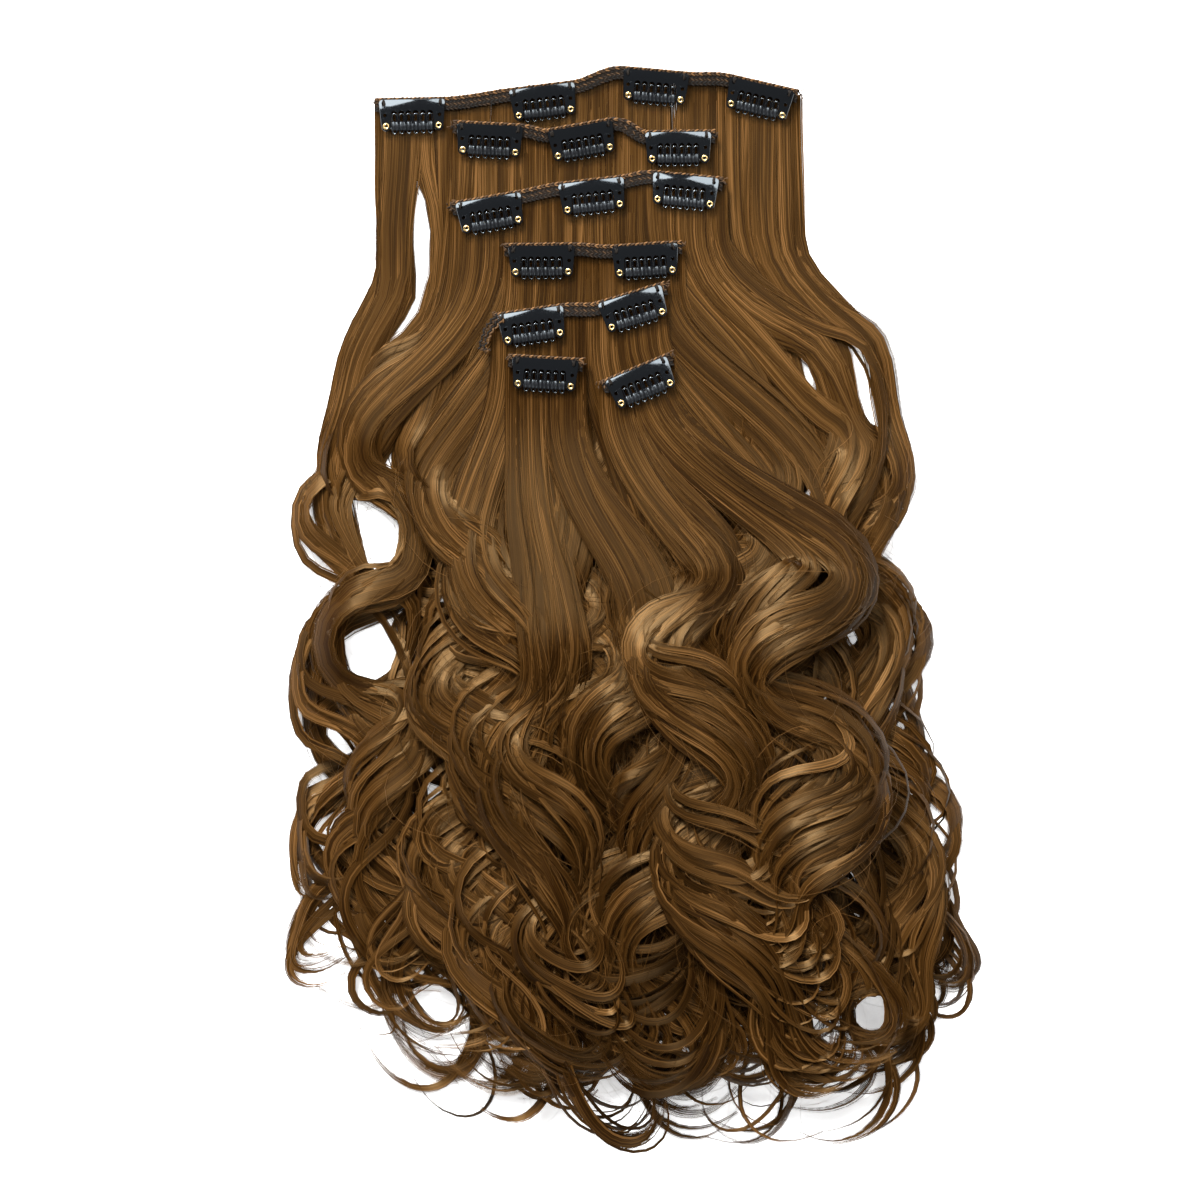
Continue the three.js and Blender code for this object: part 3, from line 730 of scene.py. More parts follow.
def slot_middle(lock):
    return (siblings_of(lock).index(lock) + 0.5) * slot_share(lock)


def root_half(lock, half):
    """Half a ribbon's width at its root, where it stays inside its lock's part of the track."""
    slot_width = LINES[lock["weft"]].length / len(siblings_of(lock))
    return np.minimum(ROOT_WIDER * half, ROOT_MOST * slot_width)


def side_of(x, y):
    """The level direction to the left of each route."""
    dx, dy = np.gradient(x, axis=1), np.gradient(y, axis=1)
    size = np.hypot(dx, dy) + 1e-6
    return -dy / size, dx / size


def wave_along(lock, own, along, length, straight):
    """How far each fibre turns from straight down along its way, and where in its wave it is, in radians."""
    wave = lock["wave"] * HAIR_LENGTH * (1 + column(own["wave"]))
    waved = np.minimum(along, length - HOOK_LENGTH)
    theta = 2 * np.pi * (waved - straight) / wave + math.radians(lock["phase"])
    theta = theta + column(own["phase"]) * (EARLY_SHIFT + astray_along(along, straight))
    ramp = smooth(along - straight, 0, SWING_RAMP)
    hook = math.radians(lock["hook"]) * column(own["hook"]) * smooth(along, length - HOOK_LENGTH, length)
    heading = math.radians(lock["swing"]) * (1 + column(own["swing"])) * ramp * np.sin(theta) + hook
    turns = 2 * np.pi * along / column(own["curl"]) + column(own["phase"]) * FRIZZ["shift"]
    frizz = column(own["bend"]) * np.sin(turns)
    return heading + frizz * smooth(along, *FRIZZ_RANGE), theta


def astray_along(along, straight):
    """How far along its own ways a fibre has gone: 0 at its root and 1 in the waves."""
    return smooth(along, ASTRAY_START * straight, ASTRAY_END * HAIR_LENGTH)


def lock_line(lock, own, along, heading, straight):
    """The line of the lock as each fibre follows it: down from the track, out to its lane, and waving."""
    step = along[:, 1:2]
    sway = np.cumsum(np.sin(heading), axis=1) * step
    drop = np.cumsum(np.cos(heading), axis=1) * step
    sway -= sway[:, :1]
    drop -= drop[:, :1]
    root, _, root_up, _ = LINES[lock["weft"]].at(slot_middle(lock))
    root = root + root_up * TRACK_DEPTH / 2
    lowest = drop.max(axis=1, keepdims=True)
    drop = drop * np.minimum(1, (root[1] - LOWEST) / lowest)
    down = drop - root[1]
    drift = smooth(drop, FLARE_START * straight, FLARE_START * straight + FLARE_DROP)
    lane = lock["lane"] + column(own["lane"]) * astray_along(along, straight)
    return mix(root[0], lane_at(lane, down), drift) + sway, -down


def picked_stations(weft, straight, stations):
    """Which points of a route are kept: few in the straight part and more in the hook at the end."""
    bend = straight / (weft["length"] * HAIR_LENGTH)
    hooked = 1 - HOOK_LENGTH / (weft["length"] * HAIR_LENGTH)
    straight_count = int(stations * STRAIGHT_STATIONS)
    hook_count = int(stations * HOOK_STATIONS)
    picks = np.concatenate([
        np.linspace(0, bend, straight_count, endpoint=False),
        np.linspace(bend, hooked, stations - straight_count - hook_count, endpoint=False),
        np.linspace(hooked, 1, hook_count),
    ])
    return np.round(picks * (ROUTE_POINTS - 1)).astype(int)


def routes(lock, own, stations):
    """The routes of many fibres of one lock: points shaped (fibres, stations, 3) and what goes with them."""
    weft = WEFTS[lock["weft"] - 1]
    line = LINES[lock["weft"]]
    straight = weft["straight"] * HAIR_LENGTH
    length = column(weft["length"] * (1 - lock["short"]) * HAIR_LENGTH * (1 - own["short"]))
    along = np.linspace(0, 1, ROUTE_POINTS)[None, :] * length
    share = along / length
    ramp = smooth(along - straight, 0, SWING_RAMP)
    heading, theta = wave_along(lock, own, along, length, straight)
    x, y = lock_line(lock, own, along, heading, straight)
    side_x, side_y = side_of(x, y)

    # Each fibre's own place across the lock. On the inside of a bend it comes no nearer to the centre.
    root_width = line.length * slot_share(lock)
    widened = smooth(along, WIDTH_START, straight + WIDTH_END)
    width = mix(root_width, LOCK_WIDTH * lock["full"], widened) / 2 * LOCK_SPREAD
    width = width * mix(1, LOCK_TIP["width"], smooth(share, LOCK_TIP["start"], 1))
    turned = 1 - column(own["flip"]) * ramp * (1 - lock["hand"] * np.sin(theta))
    lateral = column(own["place"]) * np.maximum(0, width - column(own["half"]) * EDGE_ROOM) * turned
    inward = lateral * np.gradient(heading, axis=1) / along[:, 1:2]
    lateral = lateral * np.minimum(1, TIGHTEST / np.maximum(inward, 1e-6))
    px = x + side_x * lateral
    py = y + side_y * lateral

    # The roots follow the track
    room = 1 - (root_half(lock, own["half"]) - ROOT_OVERLAP) / (root_width / 2)
    root_share = slot_middle(lock) + own["place"] * room / 2 * slot_share(lock)
    foot, _, up, tip = line.at(root_share)
    start = foot + up * (TRACK_DEPTH * ROOT_UP) * np.cos(tip)[:, None]
    settle = 1 - smooth(along, 0, ROOT_BLEND)
    px = px + (column(start[:, 0]) - px[:, :1]) * settle
    py = py + (column(start[:, 1]) - py[:, :1]) * settle

    # Round the holes and inside the outline
    round_x, round_y = round_holes(px, py, along, column(own["half"]))
    px = eased(inside_outline(mix(px, round_x, column(own["clear"])), py))
    py = eased(mix(py, round_y, column(own["clear"])))
    new_x, new_y = side_of(px, py)
    aligned = new_x * side_x + new_y * side_y > SIDE_AGREES
    side_x = np.where(aligned, new_x, side_x)
    side_y = np.where(aligned, new_y, side_y)

    # Heights: the waves coil a little, and the lock is arched across
    depth = layer_depth(px, py)
    loose = smooth(along, 0, straight + SWING_RAMP)
    middle = (lock["weft"] - 0.5) * depth - GAP / 2
    lower = mix(1, COIL_TIP["height"], smooth(share, COIL_TIP["start"], 1))
    rise = lock["hand"] * HELIX_RISE * ramp * np.sin(theta) * lower
    arch = LOCK_ARCH * loose * (0.5 - column(own["place"]) ** 2)
    pz = middle + rise + arch + column(own["level"]) * mix(ROOT_LEVEL, 1, loose)
    lift = track_lift(column(tip)) + 0.5 * TRACK_DEPTH * np.sin(column(tip))
    lift = lift * (1 - smooth(along, *CLIMB_RANGE))
    pz = np.maximum(pz + ROOT_CLIMB * lift, FIBRE_LOWEST)
    lean = TILT * ramp * -np.cos(theta) + FAN * loose * column(own["place"])

    kept = picked_stations(weft, straight, stations)
    points = np.stack([px, py, pz], axis=-1)[:, kept]
    side = np.stack([side_x, side_y, np.zeros_like(side_x)], axis=-1)[:, kept]
    return points, side, lean[:, kept], along[:, kept], share[:, kept]


def ring_points(points, side, lean, half_width, half_thickness, angles):
    """Flat rings along fibres, leaning to their own side. The half sizes are shaped (fibres, stations)."""
    up = np.array([0, 0, 1.0])
    across = side * np.cos(lean)[..., None] - up * np.sin(lean)[..., None]
    over = side * np.sin(lean)[..., None] + up * np.cos(lean)[..., None]
    wide = across[:, :, None] * (half_width[..., None] * np.cos(angles))[..., None]
    high = over[:, :, None] * (half_thickness[..., None] * np.sin(angles))[..., None]
    rings = points[:, :, None] + wide + high
    sunk = np.maximum(0, FLOOR_GAP - rings[..., 2].min(axis=2))
    rings[..., 2] += sunk[..., None]
    return rings


def fibre_uv(rings, u, along):
    shape = rings.shape[:3]
    u = np.broadcast_to(u, shape) + random.uniform(0, STREAK_SHIFT, shape[0])[:, None, None]
    return np.stack([u, np.broadcast_to(along[..., None], shape)], axis=-1)


def painted_root_shade(along):
    """Painted shade: the hair is darker near its track, where the track shades it."""
    return mix(ROOT_PAINTED_SHADE, 0, smooth(along, *ROOT_SHADE))


def add_flat(builder, lock, clumps, count, kind):
    """Flat bundles of fibres: broad ribbons or thin wisps."""
    own = fibres_in(clumps, count, kind)
    own["level"] = own["level"] + kind["rise"]
    points, side, lean, along, share = routes(lock, own, kind["stations"])
    own_lean = random.normal(0, OWN_LEAN, count)[:, None] * smooth(along, *LEAN_RANGE)
    half = column(own["half"])
    wide = mix(root_half(lock, half), half, smooth(along, *WIDEN_RANGE))
    wide = wide * mix(1, kind["split"], smooth(share, *SPLIT_RANGE))
    wide = wide * mix(1, TIP_WIDTH, smooth(share, TIP_START, 1))
    thick = kind["thinness"] * wide * mix(THIN_ROOT, 1, smooth(along, *THICKEN_RANGE)) + THINNEST
    rings = ring_points(points, side, lean + own_lean, wide, thick, kind["angles"])
    u = half[..., None] * np.cos(kind["angles"])
    # The tone holds painted shade near the track, besides each bundle's and weft's own tone
    tone = random.uniform(*kind["tone"], count)[:, None] + WEFTS[lock["weft"] - 1]["tone"] + painted_root_shade(along)
    cover = (1 - np.abs(np.cos(kind["angles"]))) * (1 - smooth(share, kind["feather"], 1))[..., None]
    border = np.abs(np.cos(kind["angles"])) > 0.99
    builder.tubes(rings, tone[..., None], fibre_uv(rings, u, along), cover=cover, border=border)


def add_strands(builder, lock, clumps, count, kind):
    """Single fibres over and beside the lock's body."""
    own = fibres_in(clumps, count, kind)
    own["level"] = own["level"] + random.uniform(*kind["rise"], count)
    stray = random.normal(0, STRAY["lane"], count)
    own["lane"] = own["lane"] + stray * (random.random(count) < STRAY["share"])
    own["bend"] = random.uniform(*FRIZZ["bend"], count)
    own["curl"] = random.uniform(*FRIZZ["curl"], count)
    own["clear"] = np.where(random.random(count) < CROSSING["share"], CROSSING["clear"], 1)
    points, side, lean, along, share = routes(lock, own, kind["stations"])
    radius = column(own["half"]) * mix(1, STRAND_TIP["width"], smooth(share, STRAND_TIP["start"], 1))
    rings = ring_points(points, side, lean, radius, radius, kind["angles"])
    tone = random.uniform(*kind["tone"], count)[:, None, None]
    builder.tubes(rings, tone, fibre_uv(rings, 0.0, along))


def build_hair(weft, material):
    builder = Builder()
    counts = WEFTS[weft - 1]
    for lock in [lock for lock in LOCKS if lock["weft"] == weft]:
        clumps = lock_clumps()
        add_flat(builder, lock, clumps, counts["ribbons"], RIBBON)
        add_flat(builder, lock, clumps, counts["wisps"], WISP)
        add_strands(builder, lock, clumps, counts["strands"], STRAND)
    mesh = builder.mesh(f"wavy_hair_{weft}")
    mesh.materials.append(material)
    add_object(f"wavy_hair_{weft}", mesh, f"hair_{weft}")


# The sewn tracks

def add_band(builder, weft):
    """The flat body of the track, a little thicker along its top edge."""
    line = LINES[weft]
    stations = max(8, int(line.length / BAND_STEP))
    share = np.linspace(0, 1, stations)
    rings = [on_track(weft, share, out, rise) for out, rise in BAND_PROFILE]
    builder.tubes(np.stack(rings, axis=1)[None, :, ::-1], BAND_TONE)


def add_stitch_row(builder, weft, out, rise, slant, radius, tone):
    """One row of slanting stitches along the track."""
    count = max(4, int(LINES[weft].length / STITCH_PITCH))
    share = (np.arange(count) + 0.5) / count
    half = 0.5 * STITCH_PITCH / LINES[weft].length
    wobble = random.normal(0, 0.08, count)
    start = on_track(weft, share - half, out - slant + wobble, rise)
    end = on_track(weft, share + half, out + slant + wobble, rise)
    middle = (start + end) / 2
    length = 0.5 * math.hypot(STITCH_PITCH, 2 * slant) + 0.15
    tones = np.where(np.arange(count) % 2, tone, tone * 0.3) + random.normal(0, 0.05, count)
    tones = np.clip(tones, 0, 1)[:, None, None]
    builder.tubes(bead_rings(middle, end - start, length, radius), tones)


def add_ties(builder, clip):
    """Black thread that ties the clip's two top corners to the track."""
    matrix = clip_matrix(clip)
    count = TIE["windings"]
    for hand in (-1, 1):
        across = hand * (THREAD_HOLE["across"] + random.uniform(-TIE["stray"], TIE["stray"], count))
        up = random.uniform(*TIE["up"], count)
        height = clip_bow(across) + PLATE_THICKNESS + TIE["above"]
        centres = place_by(matrix, np.stack([across, up, height], axis=-1))
        lean = random.uniform(-TIE["lean"], TIE["lean"], count)
        along = np.stack([np.sin(lean), np.cos(lean), np.zeros(count)], axis=-1)
        along = along @ np.array(matrix.to_3x3()).T
        builder.tubes(bead_rings(centres, along, TIE["half_length"], TIE["radius"]), TIE["tone"])


def add_knot(builder, centre, size, threads):
    """A small tangle of thread."""
    centres = centre + random.normal(0, size, (threads, 3)) * np.array([1, 1, KNOT_THREAD["flat"]])
    tones = random.uniform(*KNOT_THREAD["tone"], threads)[:, None, None]
    headings = random.normal(0, 1, (threads, 3))
    builder.tubes(bead_rings(centres, headings, KNOT_THREAD["half_length"], KNOT_THREAD["radius"]), tones)


def add_tail(builder):
    """The loose end of a track that was cut long and hangs down beside its clip."""
    share = np.linspace(0, 1, TAIL_STITCHES)
    start, end = np.array(TAIL["start"]), np.array(TAIL["end"])
    middle = start + (end - start) * share[:, None]
    along = np.broadcast_to(end - start, middle.shape)
    across = unit(np.cross(end - start, [0, 0, 1.0]))
    curve = across * (TAIL["bulge"] * np.sin(np.pi * share))[:, None]
    for row, tone in TAIL_ROWS:
        slant = np.where(np.arange(TAIL_STITCHES) % 2, 1.0, -1.0)[:, None] * across * TAIL["slant"]
        wander = random.normal(0, TAIL["wander"], (TAIL_STITCHES, 3))
        centres = middle + curve + across * row + wander
        builder.tubes(bead_rings(centres, along + slant, **TAIL_STITCH), tone)
    add_knot(builder, end, **TAIL_KNOT)


def build_track(weft, material):
    builder = Builder()
    for share in (0, 1):
        centre = on_track(weft, np.array(share), KNOT["out"], KNOT["rise"])
        add_knot(builder, centre, KNOT["size"], KNOT["threads"])
    if weft == TAIL["weft"]:
        add_tail(builder)
    add_band(builder, weft)
    for row in STITCH_ROWS:
        add_stitch_row(builder, weft, **row)
    for clip in clips_of(weft):
        add_ties(builder, clip)
    mesh = builder.mesh(f"sewn_track_{weft}")
    mesh.materials.append(material)
    add_object(f"sewn_track_{weft}", mesh, f"track_{weft}")


# The snap clips

def arc(centre, radius, start, end, count):
    angles = np.radians(np.linspace(start, end, count))
    return [(centre[0] + radius * math.cos(a), centre[1] + radius * math.sin(a)) for a in angles]


def comb_edge():
    """The lower edge of the plate's band from left to right: round-topped windows with teeth between."""
    top = EYELET_DROP - TOP_BAND
    tooth_end = BAR_DEPTH / 2 - 1
    points = []
    for index in range(WINDOWS):
        middle = (index + 0.5) * WINDOW_PITCH - COMB_HALF
        if index:
            points.append((middle - WINDOW_HALF, tooth_end))
        points.extend(arc((middle, top - WINDOW_HALF), WINDOW_HALF, 180, 0, WINDOW_POINTS))
        if index < WINDOWS - 1:
            points.append((middle + WINDOW_HALF, tooth_end))
    return points


def plate_outline():
    half = CLIP_WIDTH / 2
    corner = PLATE_CORNER
    leg_end = LEG_WIDTH / 2
    left_leg = arc((-EYELET_OFFSET, -LEG_END), leg_end, 180, 360, LEG_POINTS)
    right_leg = arc((EYELET_OFFSET, -LEG_END), leg_end, 180, 360, LEG_POINTS)
    top_right = arc((half - corner, EYELET_DROP - corner), corner, 0, 90, CORNER_POINTS)
    top_left = arc((corner - half, EYELET_DROP - corner), corner, 90, 180, CORNER_POINTS)
    return left_leg + comb_edge() + right_leg + top_right + top_left


def circle(hole, hand):
    last = 360 - 360 / HOLE_POINTS
    return arc((hand * hole["across"], hole["up"]), hole["radius"], 0, last, HOLE_POINTS)


def flat_mesh(name, loops, thickness, bevel):
    """A flat plate with holes and rounded rims; bow_plate cuts it into strips and bows it."""
    curve = bpy.data.curves.new(name, "CURVE")
    curve.dimensions = "2D"
    curve.fill_mode = "BOTH"
    curve.extrude = (thickness / 2 - bevel) * MM
    curve.bevel_depth = bevel * MM
    curve.bevel_resolution = 0
    curve.offset = -bevel * MM
    for loop in loops:
        spline = curve.splines.new("POLY")
        spline.points.add(len(loop) - 1)
        for point, place in zip(spline.points, loop):
            point.co = (place[0] * MM, place[1] * MM, 0, 1)
        spline.use_cyclic_u = True
    helper = bpy.data.objects.new(name, curve)
    mesh = bpy.data.meshes.new_from_object(helper)
    bpy.data.objects.remove(helper)
    bpy.data.curves.remove(curve)
    return mesh


def bow_plate(mesh):
    """Bends the flat plate across its width and lifts it to its height."""
    body = bmesh.new()
    body.from_mesh(mesh)
    bmesh.ops.remove_doubles(body, verts=body.verts, dist=0.002 * MM)
    cuts = [((x, 0, 0), (1, 0, 0)) for x in np.linspace(-14, 14, 9)]
    cuts += [((0, y, 0), (0, 1, 0)) for y in (EYELET_DROP - TOP_BAND + 0.4, EYELET_DROP - TOP_BAND / 2)]
    for place, direction in cuts:
        whole = body.verts[:] + body.edges[:] + body.faces[:]
        bmesh.ops.bisect_plane(
            body, geom=whole, plane_co=Vector(place) * MM, plane_no=direction, dist=1e-7,
        )
    bmesh.ops.triangulate(body, faces=body.faces[:])
    for vert in body.verts:
        x, y = vert.co.x / MM, vert.co.y / MM
        dip = PLATE_DIP * max(0, (y - EYELET_DROP + TOP_BAND) / TOP_BAND) ** 2
        vert.co.z += (clip_bow(x) - dip + PLATE_THICKNESS / 2) * MM
    bmesh.ops.recalc_face_normals(body, faces=body.faces)
    body.to_mesh(mesh)
    body.free()
    mesh.polygons.foreach_set("use_smooth", np.ones(len(mesh.polygons), dtype=bool))
    mesh.set_sharp_from_angle(angle=math.radians(12))


def build_plate_mesh(material):
    holes = [circle(hole, hand) for hole in (THREAD_HOLE, MIDDLE_HOLE, EYELET_HOLE) for hand in (-1, 1)]
    mesh = flat_mesh("clip plate", [plate_outline()] + holes, PLATE_THICKNESS, PLATE_BEVEL)
    bow_plate(mesh)
    mesh.materials.append(material)
    return mesh


def build_comb_mesh(material):
    """The wire loops whose tips stand out below the rubber, and the bar that carries them."""
    builder = Builder()
    centres = (np.arange(WINDOWS) + 0.5) * WINDOW_PITCH - COMB_HALF
    half_turns = [np.linspace(0, 180, WINDOW_POINTS), np.linspace(180, 360, WINDOW_POINTS)]
    angles = np.radians(np.concatenate(half_turns))
    upper = np.arange(2 * WINDOW_POINTS) < WINDOW_POINTS
    middles = np.where(upper, WIRE_TOP - WIRE_HALF, WIRE_TIP + WIRE_HALF)
    x = centres[:, None] + WIRE_HALF * np.cos(angles)
    y = middles + WIRE_HALF * np.sin(angles) + 0 * x
    z = clip_bow(x) - WIRE_DROP + WIRE_CLIMB * smooth(y, 0, WIRE_TOP)
    builder.tubes(tube_rings(np.stack([x, y, z], axis=-1), np.full(x.shape, WIRE_RADIUS), 6, True), loop=True)
    ends = np.array([-LUG["half"], LUG["half"]])
    depth, thick = LUG["depth"] / 2, LUG["thickness"]
    profile = [(-depth, -thick), (depth, -thick), (depth, 0), (-depth, 0)]
    rings = [[(x, y, z - GAP) for y, z in profile] for x in ends]
    builder.tubes(np.array([rings]))
    mesh = builder.mesh("clip comb")
    mesh.materials.append(material)
    return mesh


def build_rubber_mesh(material):
    """The ribbed sleeve over the teeth."""
    builder = Builder()
    half = COMB_HALF - SLEEVE["gap"]
    count = RIBS * RIB_POINTS + 1
    x = np.linspace(-half, half, count)
    across = (np.arange(count) % RIB_POINTS) / RIB_POINTS * 2 - 1
    bulge = np.sqrt(np.maximum(0, 1 - across**2))
    height = SLEEVE["core"] + RIB_RADIUS * bulge
    depth = BAR_DEPTH / 2 + SLEEVE["swell"] * bulge - SLEEVE["inset"]
    angles = np.radians([0, 30, 60, 90, 120, 150, 180, 225, 270, 315])
    square = np.sign(np.cos(angles)) * np.abs(np.cos(angles)) ** SLEEVE["squareness"]
    y = depth[:, None] * square
    z = (clip_bow(x) - SLEEVE["drop"])[:, None] + height[:, None] * np.sin(angles)
    rings = np.stack([np.broadcast_to(x[:, None], y.shape), y, z], axis=-1)
    builder.tubes(rings[None, :, ::-1])
    mesh = builder.mesh("clip rubber")
    mesh.materials.append(material)
    return mesh


def build_eyelet_mesh(material):
    """Two rolled brass rings with short barrels through the plate."""
    builder = Builder()
    angles = np.arange(EYELET_POINTS) / EYELET_POINTS * 2 * np.pi
    for hand in (-1, 1):
        rings = []
        for angle in angles:
            ring = []
            for radius, z in EYELET_PROFILE:
                x = hand * EYELET_OFFSET + radius * math.cos(angle)
                ring.append((x, radius * math.sin(angle), z + clip_bow(EYELET_OFFSET)))
            rings.append(ring)
        builder.tubes(np.array([rings]), loop=True)
    mesh = builder.mesh("clip eyelets")
    mesh.materials.append(material)
    return mesh


def build_clips(steel, rubber, brass):
    parts = (
        ("snap_plate", build_plate_mesh(steel), "clip_steel", "plate"),
        ("snap_comb", build_comb_mesh(steel), "clip_steel", "grip"),
        ("snap_rubber", build_rubber_mesh(rubber), "clip_rubber", "grip"),
        ("snap_eyelets", build_eyelet_mesh(brass), "eyelet_brass", "plate"),
    )
    for weft in LINES:
        for place, clip in enumerate(clips_of(weft), 1):
            matrix = clip_matrix(clip)
            for name, mesh, slot, solid in parts:
                piece = add_object(f"{name}_{weft}_{place}", mesh, f"clip_{weft}_{place}_{solid}")
                turned = matrix.to_3x3().to_4x4()
                piece.matrix_world = Matrix.Translation(matrix.translation * MM) @ turned


# Materials

def new_material(name):
    material = bpy.data.materials.new(name)
    material.use_nodes = True
    nodes = material.node_tree.nodes
    return material, nodes, material.node_tree.links, nodes["Principled BSDF"]


def add_sockets(group, inputs, outputs):
    """Gives a group its named inputs with their values, and its outputs."""
    face = group.interface
    for name, value in inputs:
        face.new_socket(name=name, in_out="INPUT", socket_type="NodeSocketFloat").default_value = value
    for name in outputs:
        face.new_socket(name=name, in_out="OUTPUT", socket_type="NodeSocketFloat")
    return group.nodes.new("NodeGroupInput"), group.nodes.new("NodeGroupOutput")


def divided(nodes, links, value, divisor):
    node = nodes.new("ShaderNodeMath")
    node.operation = "DIVIDE"
    links.new(value, node.inputs[0])
    links.new(divisor, node.inputs[1])
    return node.outputs[0]


def weighted(nodes, links, value, weight, added):
    """One value times its weight, and another added to it."""
    node = nodes.new("ShaderNodeMath")
    node.operation = "MULTIPLY_ADD"
    links.new(value, node.inputs[0])
    node.inputs[1].default_value = weight
    links.new(added, node.inputs[2])
    return node.outputs[0]


def stretched(nodes, links, value, low, high):
    """A node that stretches the values from low to high over its whole output."""
    node = nodes.new("ShaderNodeMapRange")
    links.new(value, node.inputs["Value"])
    node.inputs["From Min"].default_value = low
    node.inputs["From Max"].default_value = high
    return node


def attribute(nodes, name):
    node = nodes.new("ShaderNodeAttribute")
    node.attribute_name = name
    return node.outputs["Fac"]


def color_ramp(nodes, links, value, stops):
    """The colours of a ramp that is given as positions and colours."""
    node = nodes.new("ShaderNodeValToRGB")
    links.new(value, node.inputs["Fac"])
    elements = node.color_ramp.elements
    for element, (position, color) in zip(elements, (stops[0], stops[-1])):
        element.position = position
        element.color = (*color, 1)
    for position, color in stops[1:-1]:
        elements.new(position).color = (*color, 1)
    return node.outputs["Color"]


def add_bump(nodes, links, shader, height, strength, distance):
    """Bumps on the surface, their distance in millimetres."""
    bump = nodes.new("ShaderNodeBump")
    bump.inputs["Strength"].default_value = strength
    bump.inputs["Distance"].default_value = distance * MM
    links.new(height, bump.inputs["Height"])
    links.new(bump.outputs["Normal"], shader.inputs["Normal"])


def build_streak_group():
    """Fine lengthwise streaks: fibres side by side, from a uv in millimetres across and along."""
    group = bpy.data.node_groups.new("fibre streaks", "ShaderNodeTree")
    inputs, outputs = add_sockets(group, STREAK_SIZES, ("Fine", "Broad"))
    nodes, links = group.nodes, group.links
    uv = nodes.new("ShaderNodeUVMap")
    uv.uv_map = "fibre"
    split = nodes.new("ShaderNodeSeparateXYZ")
    links.new(uv.outputs["UV"], split.inputs[0])
    along = divided(nodes, links, split.outputs["Y"], inputs.outputs["Streak Length"])
    for name, detail in (("Fine", 3.0), ("Broad", 2.0)):
        across = divided(nodes, links, split.outputs["X"], inputs.outputs[f"{name} Width"])
        place = nodes.new("ShaderNodeCombineXYZ")
        links.new(across, place.inputs["X"])
        links.new(along, place.inputs["Y"])
        noise = nodes.new("ShaderNodeTexNoise")
        noise.noise_dimensions = "2D"
        noise.inputs["Scale"].default_value = 1.0
        noise.inputs["Detail"].default_value = detail
        links.new(place.outputs[0], noise.inputs["Vector"])
        contrast = stretched(nodes, links, noise.outputs["Fac"], 0.3, 0.7)
        links.new(contrast.outputs["Result"], outputs.inputs[name])
    return group


def build_wear_group():
    """Faint smudges and specks that change how rough a surface is."""
    group = bpy.data.node_groups.new("handling wear", "ShaderNodeTree")
    inputs, outputs = add_sockets(group, WEAR_VALUES, ("Roughness", "Height"))
    nodes, links = group.nodes, group.links
    place = nodes.new("ShaderNodeTexCoord")
    noise = nodes.new("ShaderNodeTexNoise")
    links.new(place.outputs["Object"], noise.inputs["Vector"])
    links.new(inputs.outputs["Size"], noise.inputs["Scale"])
    noise.inputs["Detail"].default_value = 4.0
    spread = stretched(nodes, links, noise.outputs["Fac"], 0.35, 0.7)
    links.new(inputs.outputs["Smooth"], spread.inputs["To Min"])
    links.new(inputs.outputs["Rough"], spread.inputs["To Max"])
    links.new(spread.outputs["Result"], outputs.inputs["Roughness"])
    links.new(noise.outputs["Fac"], outputs.inputs["Height"])
    return group


def hair_material(streaks):
    """Golden brown fibre that shines across its length, and thins out at a bundle's edges and ends."""
    material, nodes, links, shader = new_material("hair fibre")
    streak = nodes.new("ShaderNodeGroup")
    streak.node_tree = streaks
    fine = streak.outputs["Fine"]

    # Colour: fine streaks over broad ones, and each bundle its own tone, which near the tracks also holds
    # painted shade
    tone = weighted(nodes, links, attribute(nodes, "tone"), 0.5, fine)
    blend = weighted(nodes, links, streak.outputs["Broad"], 0.6, tone)
    scaled = nodes.new("ShaderNodeMath")
    scaled.operation = "MULTIPLY"
    scaled.inputs[1].default_value = 0.6
    links.new(blend, scaled.inputs[0])
    links.new(color_ramp(nodes, links, scaled.outputs[0], HAIR_RAMP), shader.inputs["Base Color"])

    # The edges and ends of a bundle part into single fibres
    dense = weighted(nodes, links, attribute(nodes, "cover"), 1.6, fine)
    links.new(stretched(nodes, links, dense, 0.6, 0.8).outputs["Result"], shader.inputs["Alpha"])

    # The gloss lies across the fibres
    rough = stretched(nodes, links, fine, 0.0, 1.0)
    rough.inputs["To Min"].default_value = 0.3
    rough.inputs["To Max"].default_value = 0.42
    links.new(rough.outputs["Result"], shader.inputs["Roughness"])
    shader.inputs["Specular IOR Level"].default_value = 0.22
    shader.inputs["Specular Tint"].default_value = (*HAIR_GLOSS, 1)
    shader.inputs["Anisotropic"].default_value = 0.92
    tangent = nodes.new("ShaderNodeTangent")
    tangent.direction_type = "UV_MAP"
    tangent.uv_map = "fibre"
    links.new(tangent.outputs["Tangent"], shader.inputs["Tangent"])
    add_bump(nodes, links, shader, fine, 0.4, 0.12)
    return material


def thread_material():
    """Dull twisted thread, from black to light brown by its tone."""
    material, nodes, links, shader = new_material("track thread")
    links.new(color_ramp(nodes, links, attribute(nodes, "tone"), THREAD_RAMP), shader.inputs["Base Color"])
    shader.inputs["Roughness"].default_value = 0.65
    shader.inputs["Specular IOR Level"].default_value = 0.15
    place = nodes.new("ShaderNodeTexCoord")
    noise = nodes.new("ShaderNodeTexNoise")
    links.new(place.outputs["Object"], noise.inputs["Vector"])
    noise.inputs["Scale"].default_value = 2500.0
    add_bump(nodes, links, shader, noise.outputs["Fac"], 0.5, 0.2)
    return material


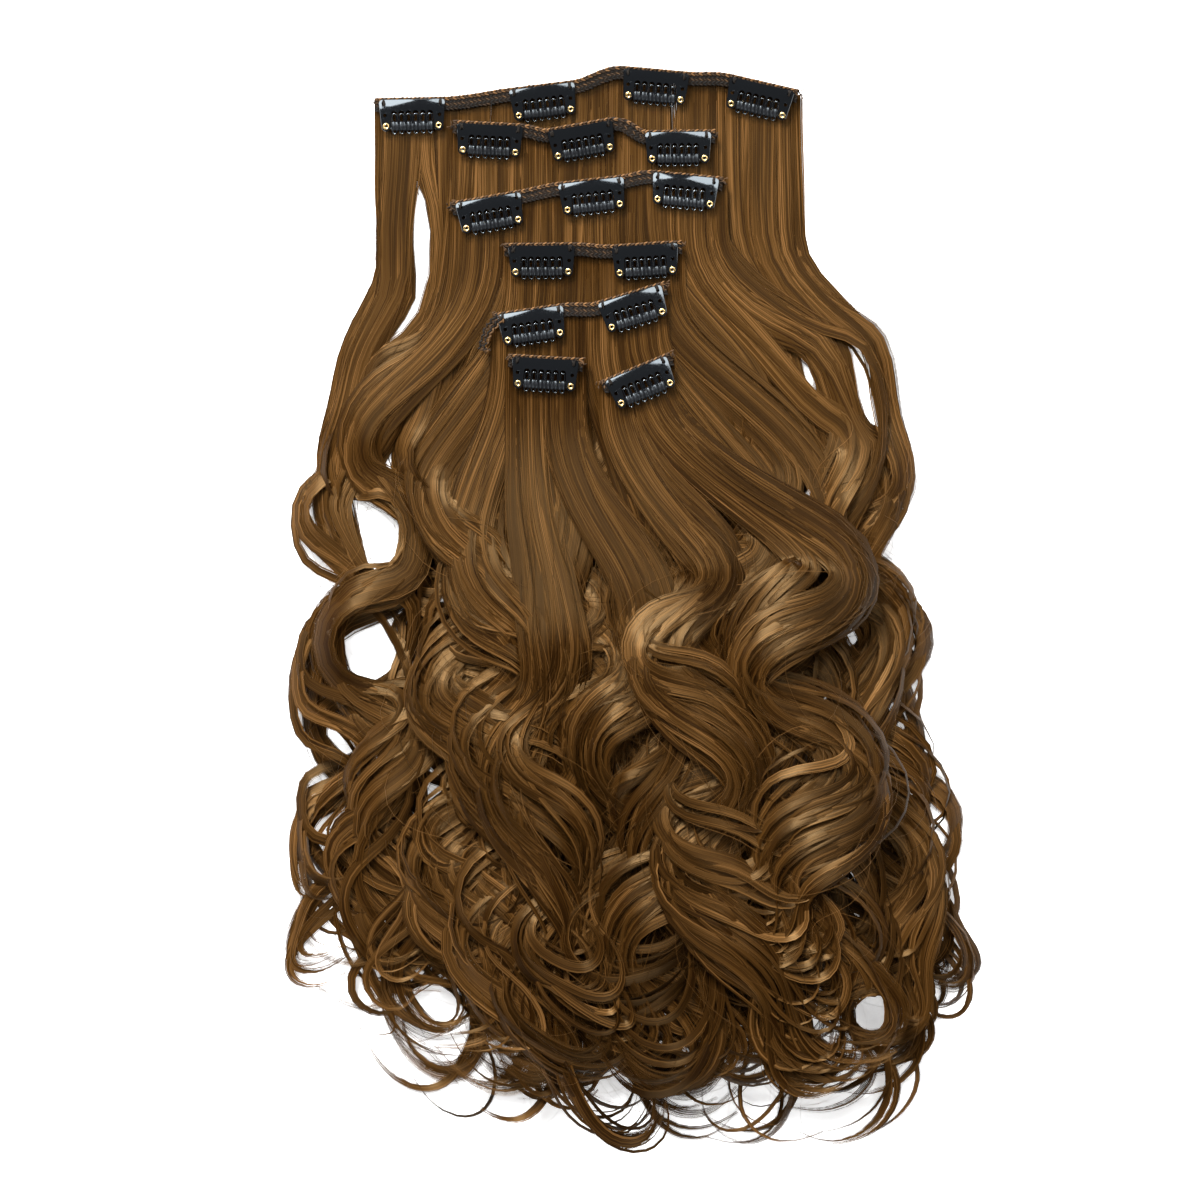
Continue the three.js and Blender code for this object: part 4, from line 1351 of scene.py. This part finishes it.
def worn_material(name, wear, finish):
    """A clip's hard material with faint wear."""
    material, nodes, links, shader = new_material(name)
    shader.inputs["Base Color"].default_value = (*finish["color"], 1)
    shader.inputs["Metallic"].default_value = finish["metallic"]
    shader.inputs["Specular IOR Level"].default_value = finish["specular"]
    shader.inputs["Specular Tint"].default_value = (*CLIP_GLOSS, 1)
    group = nodes.new("ShaderNodeGroup")
    group.node_tree = wear
    group.inputs["Smooth"].default_value, group.inputs["Rough"].default_value = finish["roughness"]
    links.new(group.outputs["Roughness"], shader.inputs["Roughness"])
    add_bump(nodes, links, shader, group.outputs["Height"], 0.15, finish["bump"])
    return material


# The floor, the lights and the camera

def build_floor():
    corners = [(x * FLOOR_HALF, y * FLOOR_HALF, 0) for x, y in ((-1, -1), (1, -1), (1, 1), (-1, 1))]
    mesh = bpy.data.meshes.new("floor")
    mesh.from_pydata(corners, [], [(0, 1, 2, 3)])
    material, _, _, shader = new_material("pale floor")
    shader.inputs["Base Color"].default_value = (FLOOR_WHITE, FLOOR_WHITE, FLOOR_WHITE, 1)
    shader.inputs["Roughness"].default_value = 0.9
    shader.inputs["Emission Color"].default_value = (1, 1, 1, 1)
    shader.inputs["Emission Strength"].default_value = FLOOR_GLOW
    mesh.materials.append(material)
    floor = bpy.data.objects.new("floor", mesh)
    bpy.context.scene.collection.objects.link(floor)


def build_light(name, place, size, power):
    """An area light that looks at the middle of the view."""
    light = bpy.data.lights.new(name, "AREA")
    light.shape = "RECTANGLE"
    light.size, light.size_y = size
    light.energy = power
    lamp = bpy.data.objects.new(name, light)
    lamp.location = place
    aim = Vector((VIEW_MIDDLE[0] * MM, VIEW_MIDDLE[1] * MM, 0)) - Vector(place)
    lamp.rotation_euler = aim.to_track_quat("-Z", "Y").to_euler()
    bpy.context.scene.collection.objects.link(lamp)


def build_camera():
    data = bpy.data.cameras.new("camera")
    data.sensor_width = SENSOR_WIDTH
    data.lens = SENSOR_WIDTH * CAMERA_HEIGHT / VIEW_WIDTH
    camera = bpy.data.objects.new("camera", data)
    camera.location = (VIEW_MIDDLE[0] * MM, VIEW_MIDDLE[1] * MM, CAMERA_HEIGHT * MM)
    bpy.context.scene.collection.objects.link(camera)
    bpy.context.scene.camera = camera


def build_stage():
    build_floor()
    for light in LIGHTS:
        build_light(**light)
    world = bpy.data.worlds.new("studio")
    world.use_nodes = True
    background = world.node_tree.nodes["Background"]
    background.inputs["Color"].default_value = (1, 1, 1, 1)
    background.inputs["Strength"].default_value = STUDIO_LIGHT
    bpy.context.scene.world = world
    bpy.context.scene.view_settings.view_transform = "Standard"
    build_camera()


# Everything together

for index, lock in enumerate(LOCKS):
    lock["hand"] = 1 if index % 2 else -1

build_stage()
wear = build_wear_group()
hair = hair_material(build_streak_group())
thread = thread_material()
for weft in LINES:
    build_hair(weft, hair)
    build_track(weft, thread)
build_clips(
    worn_material("clip steel", wear, STEEL),
    worn_material("clip rubber", wear, RUBBER),
    worn_material("eyelet brass", wear, BRASS),
)
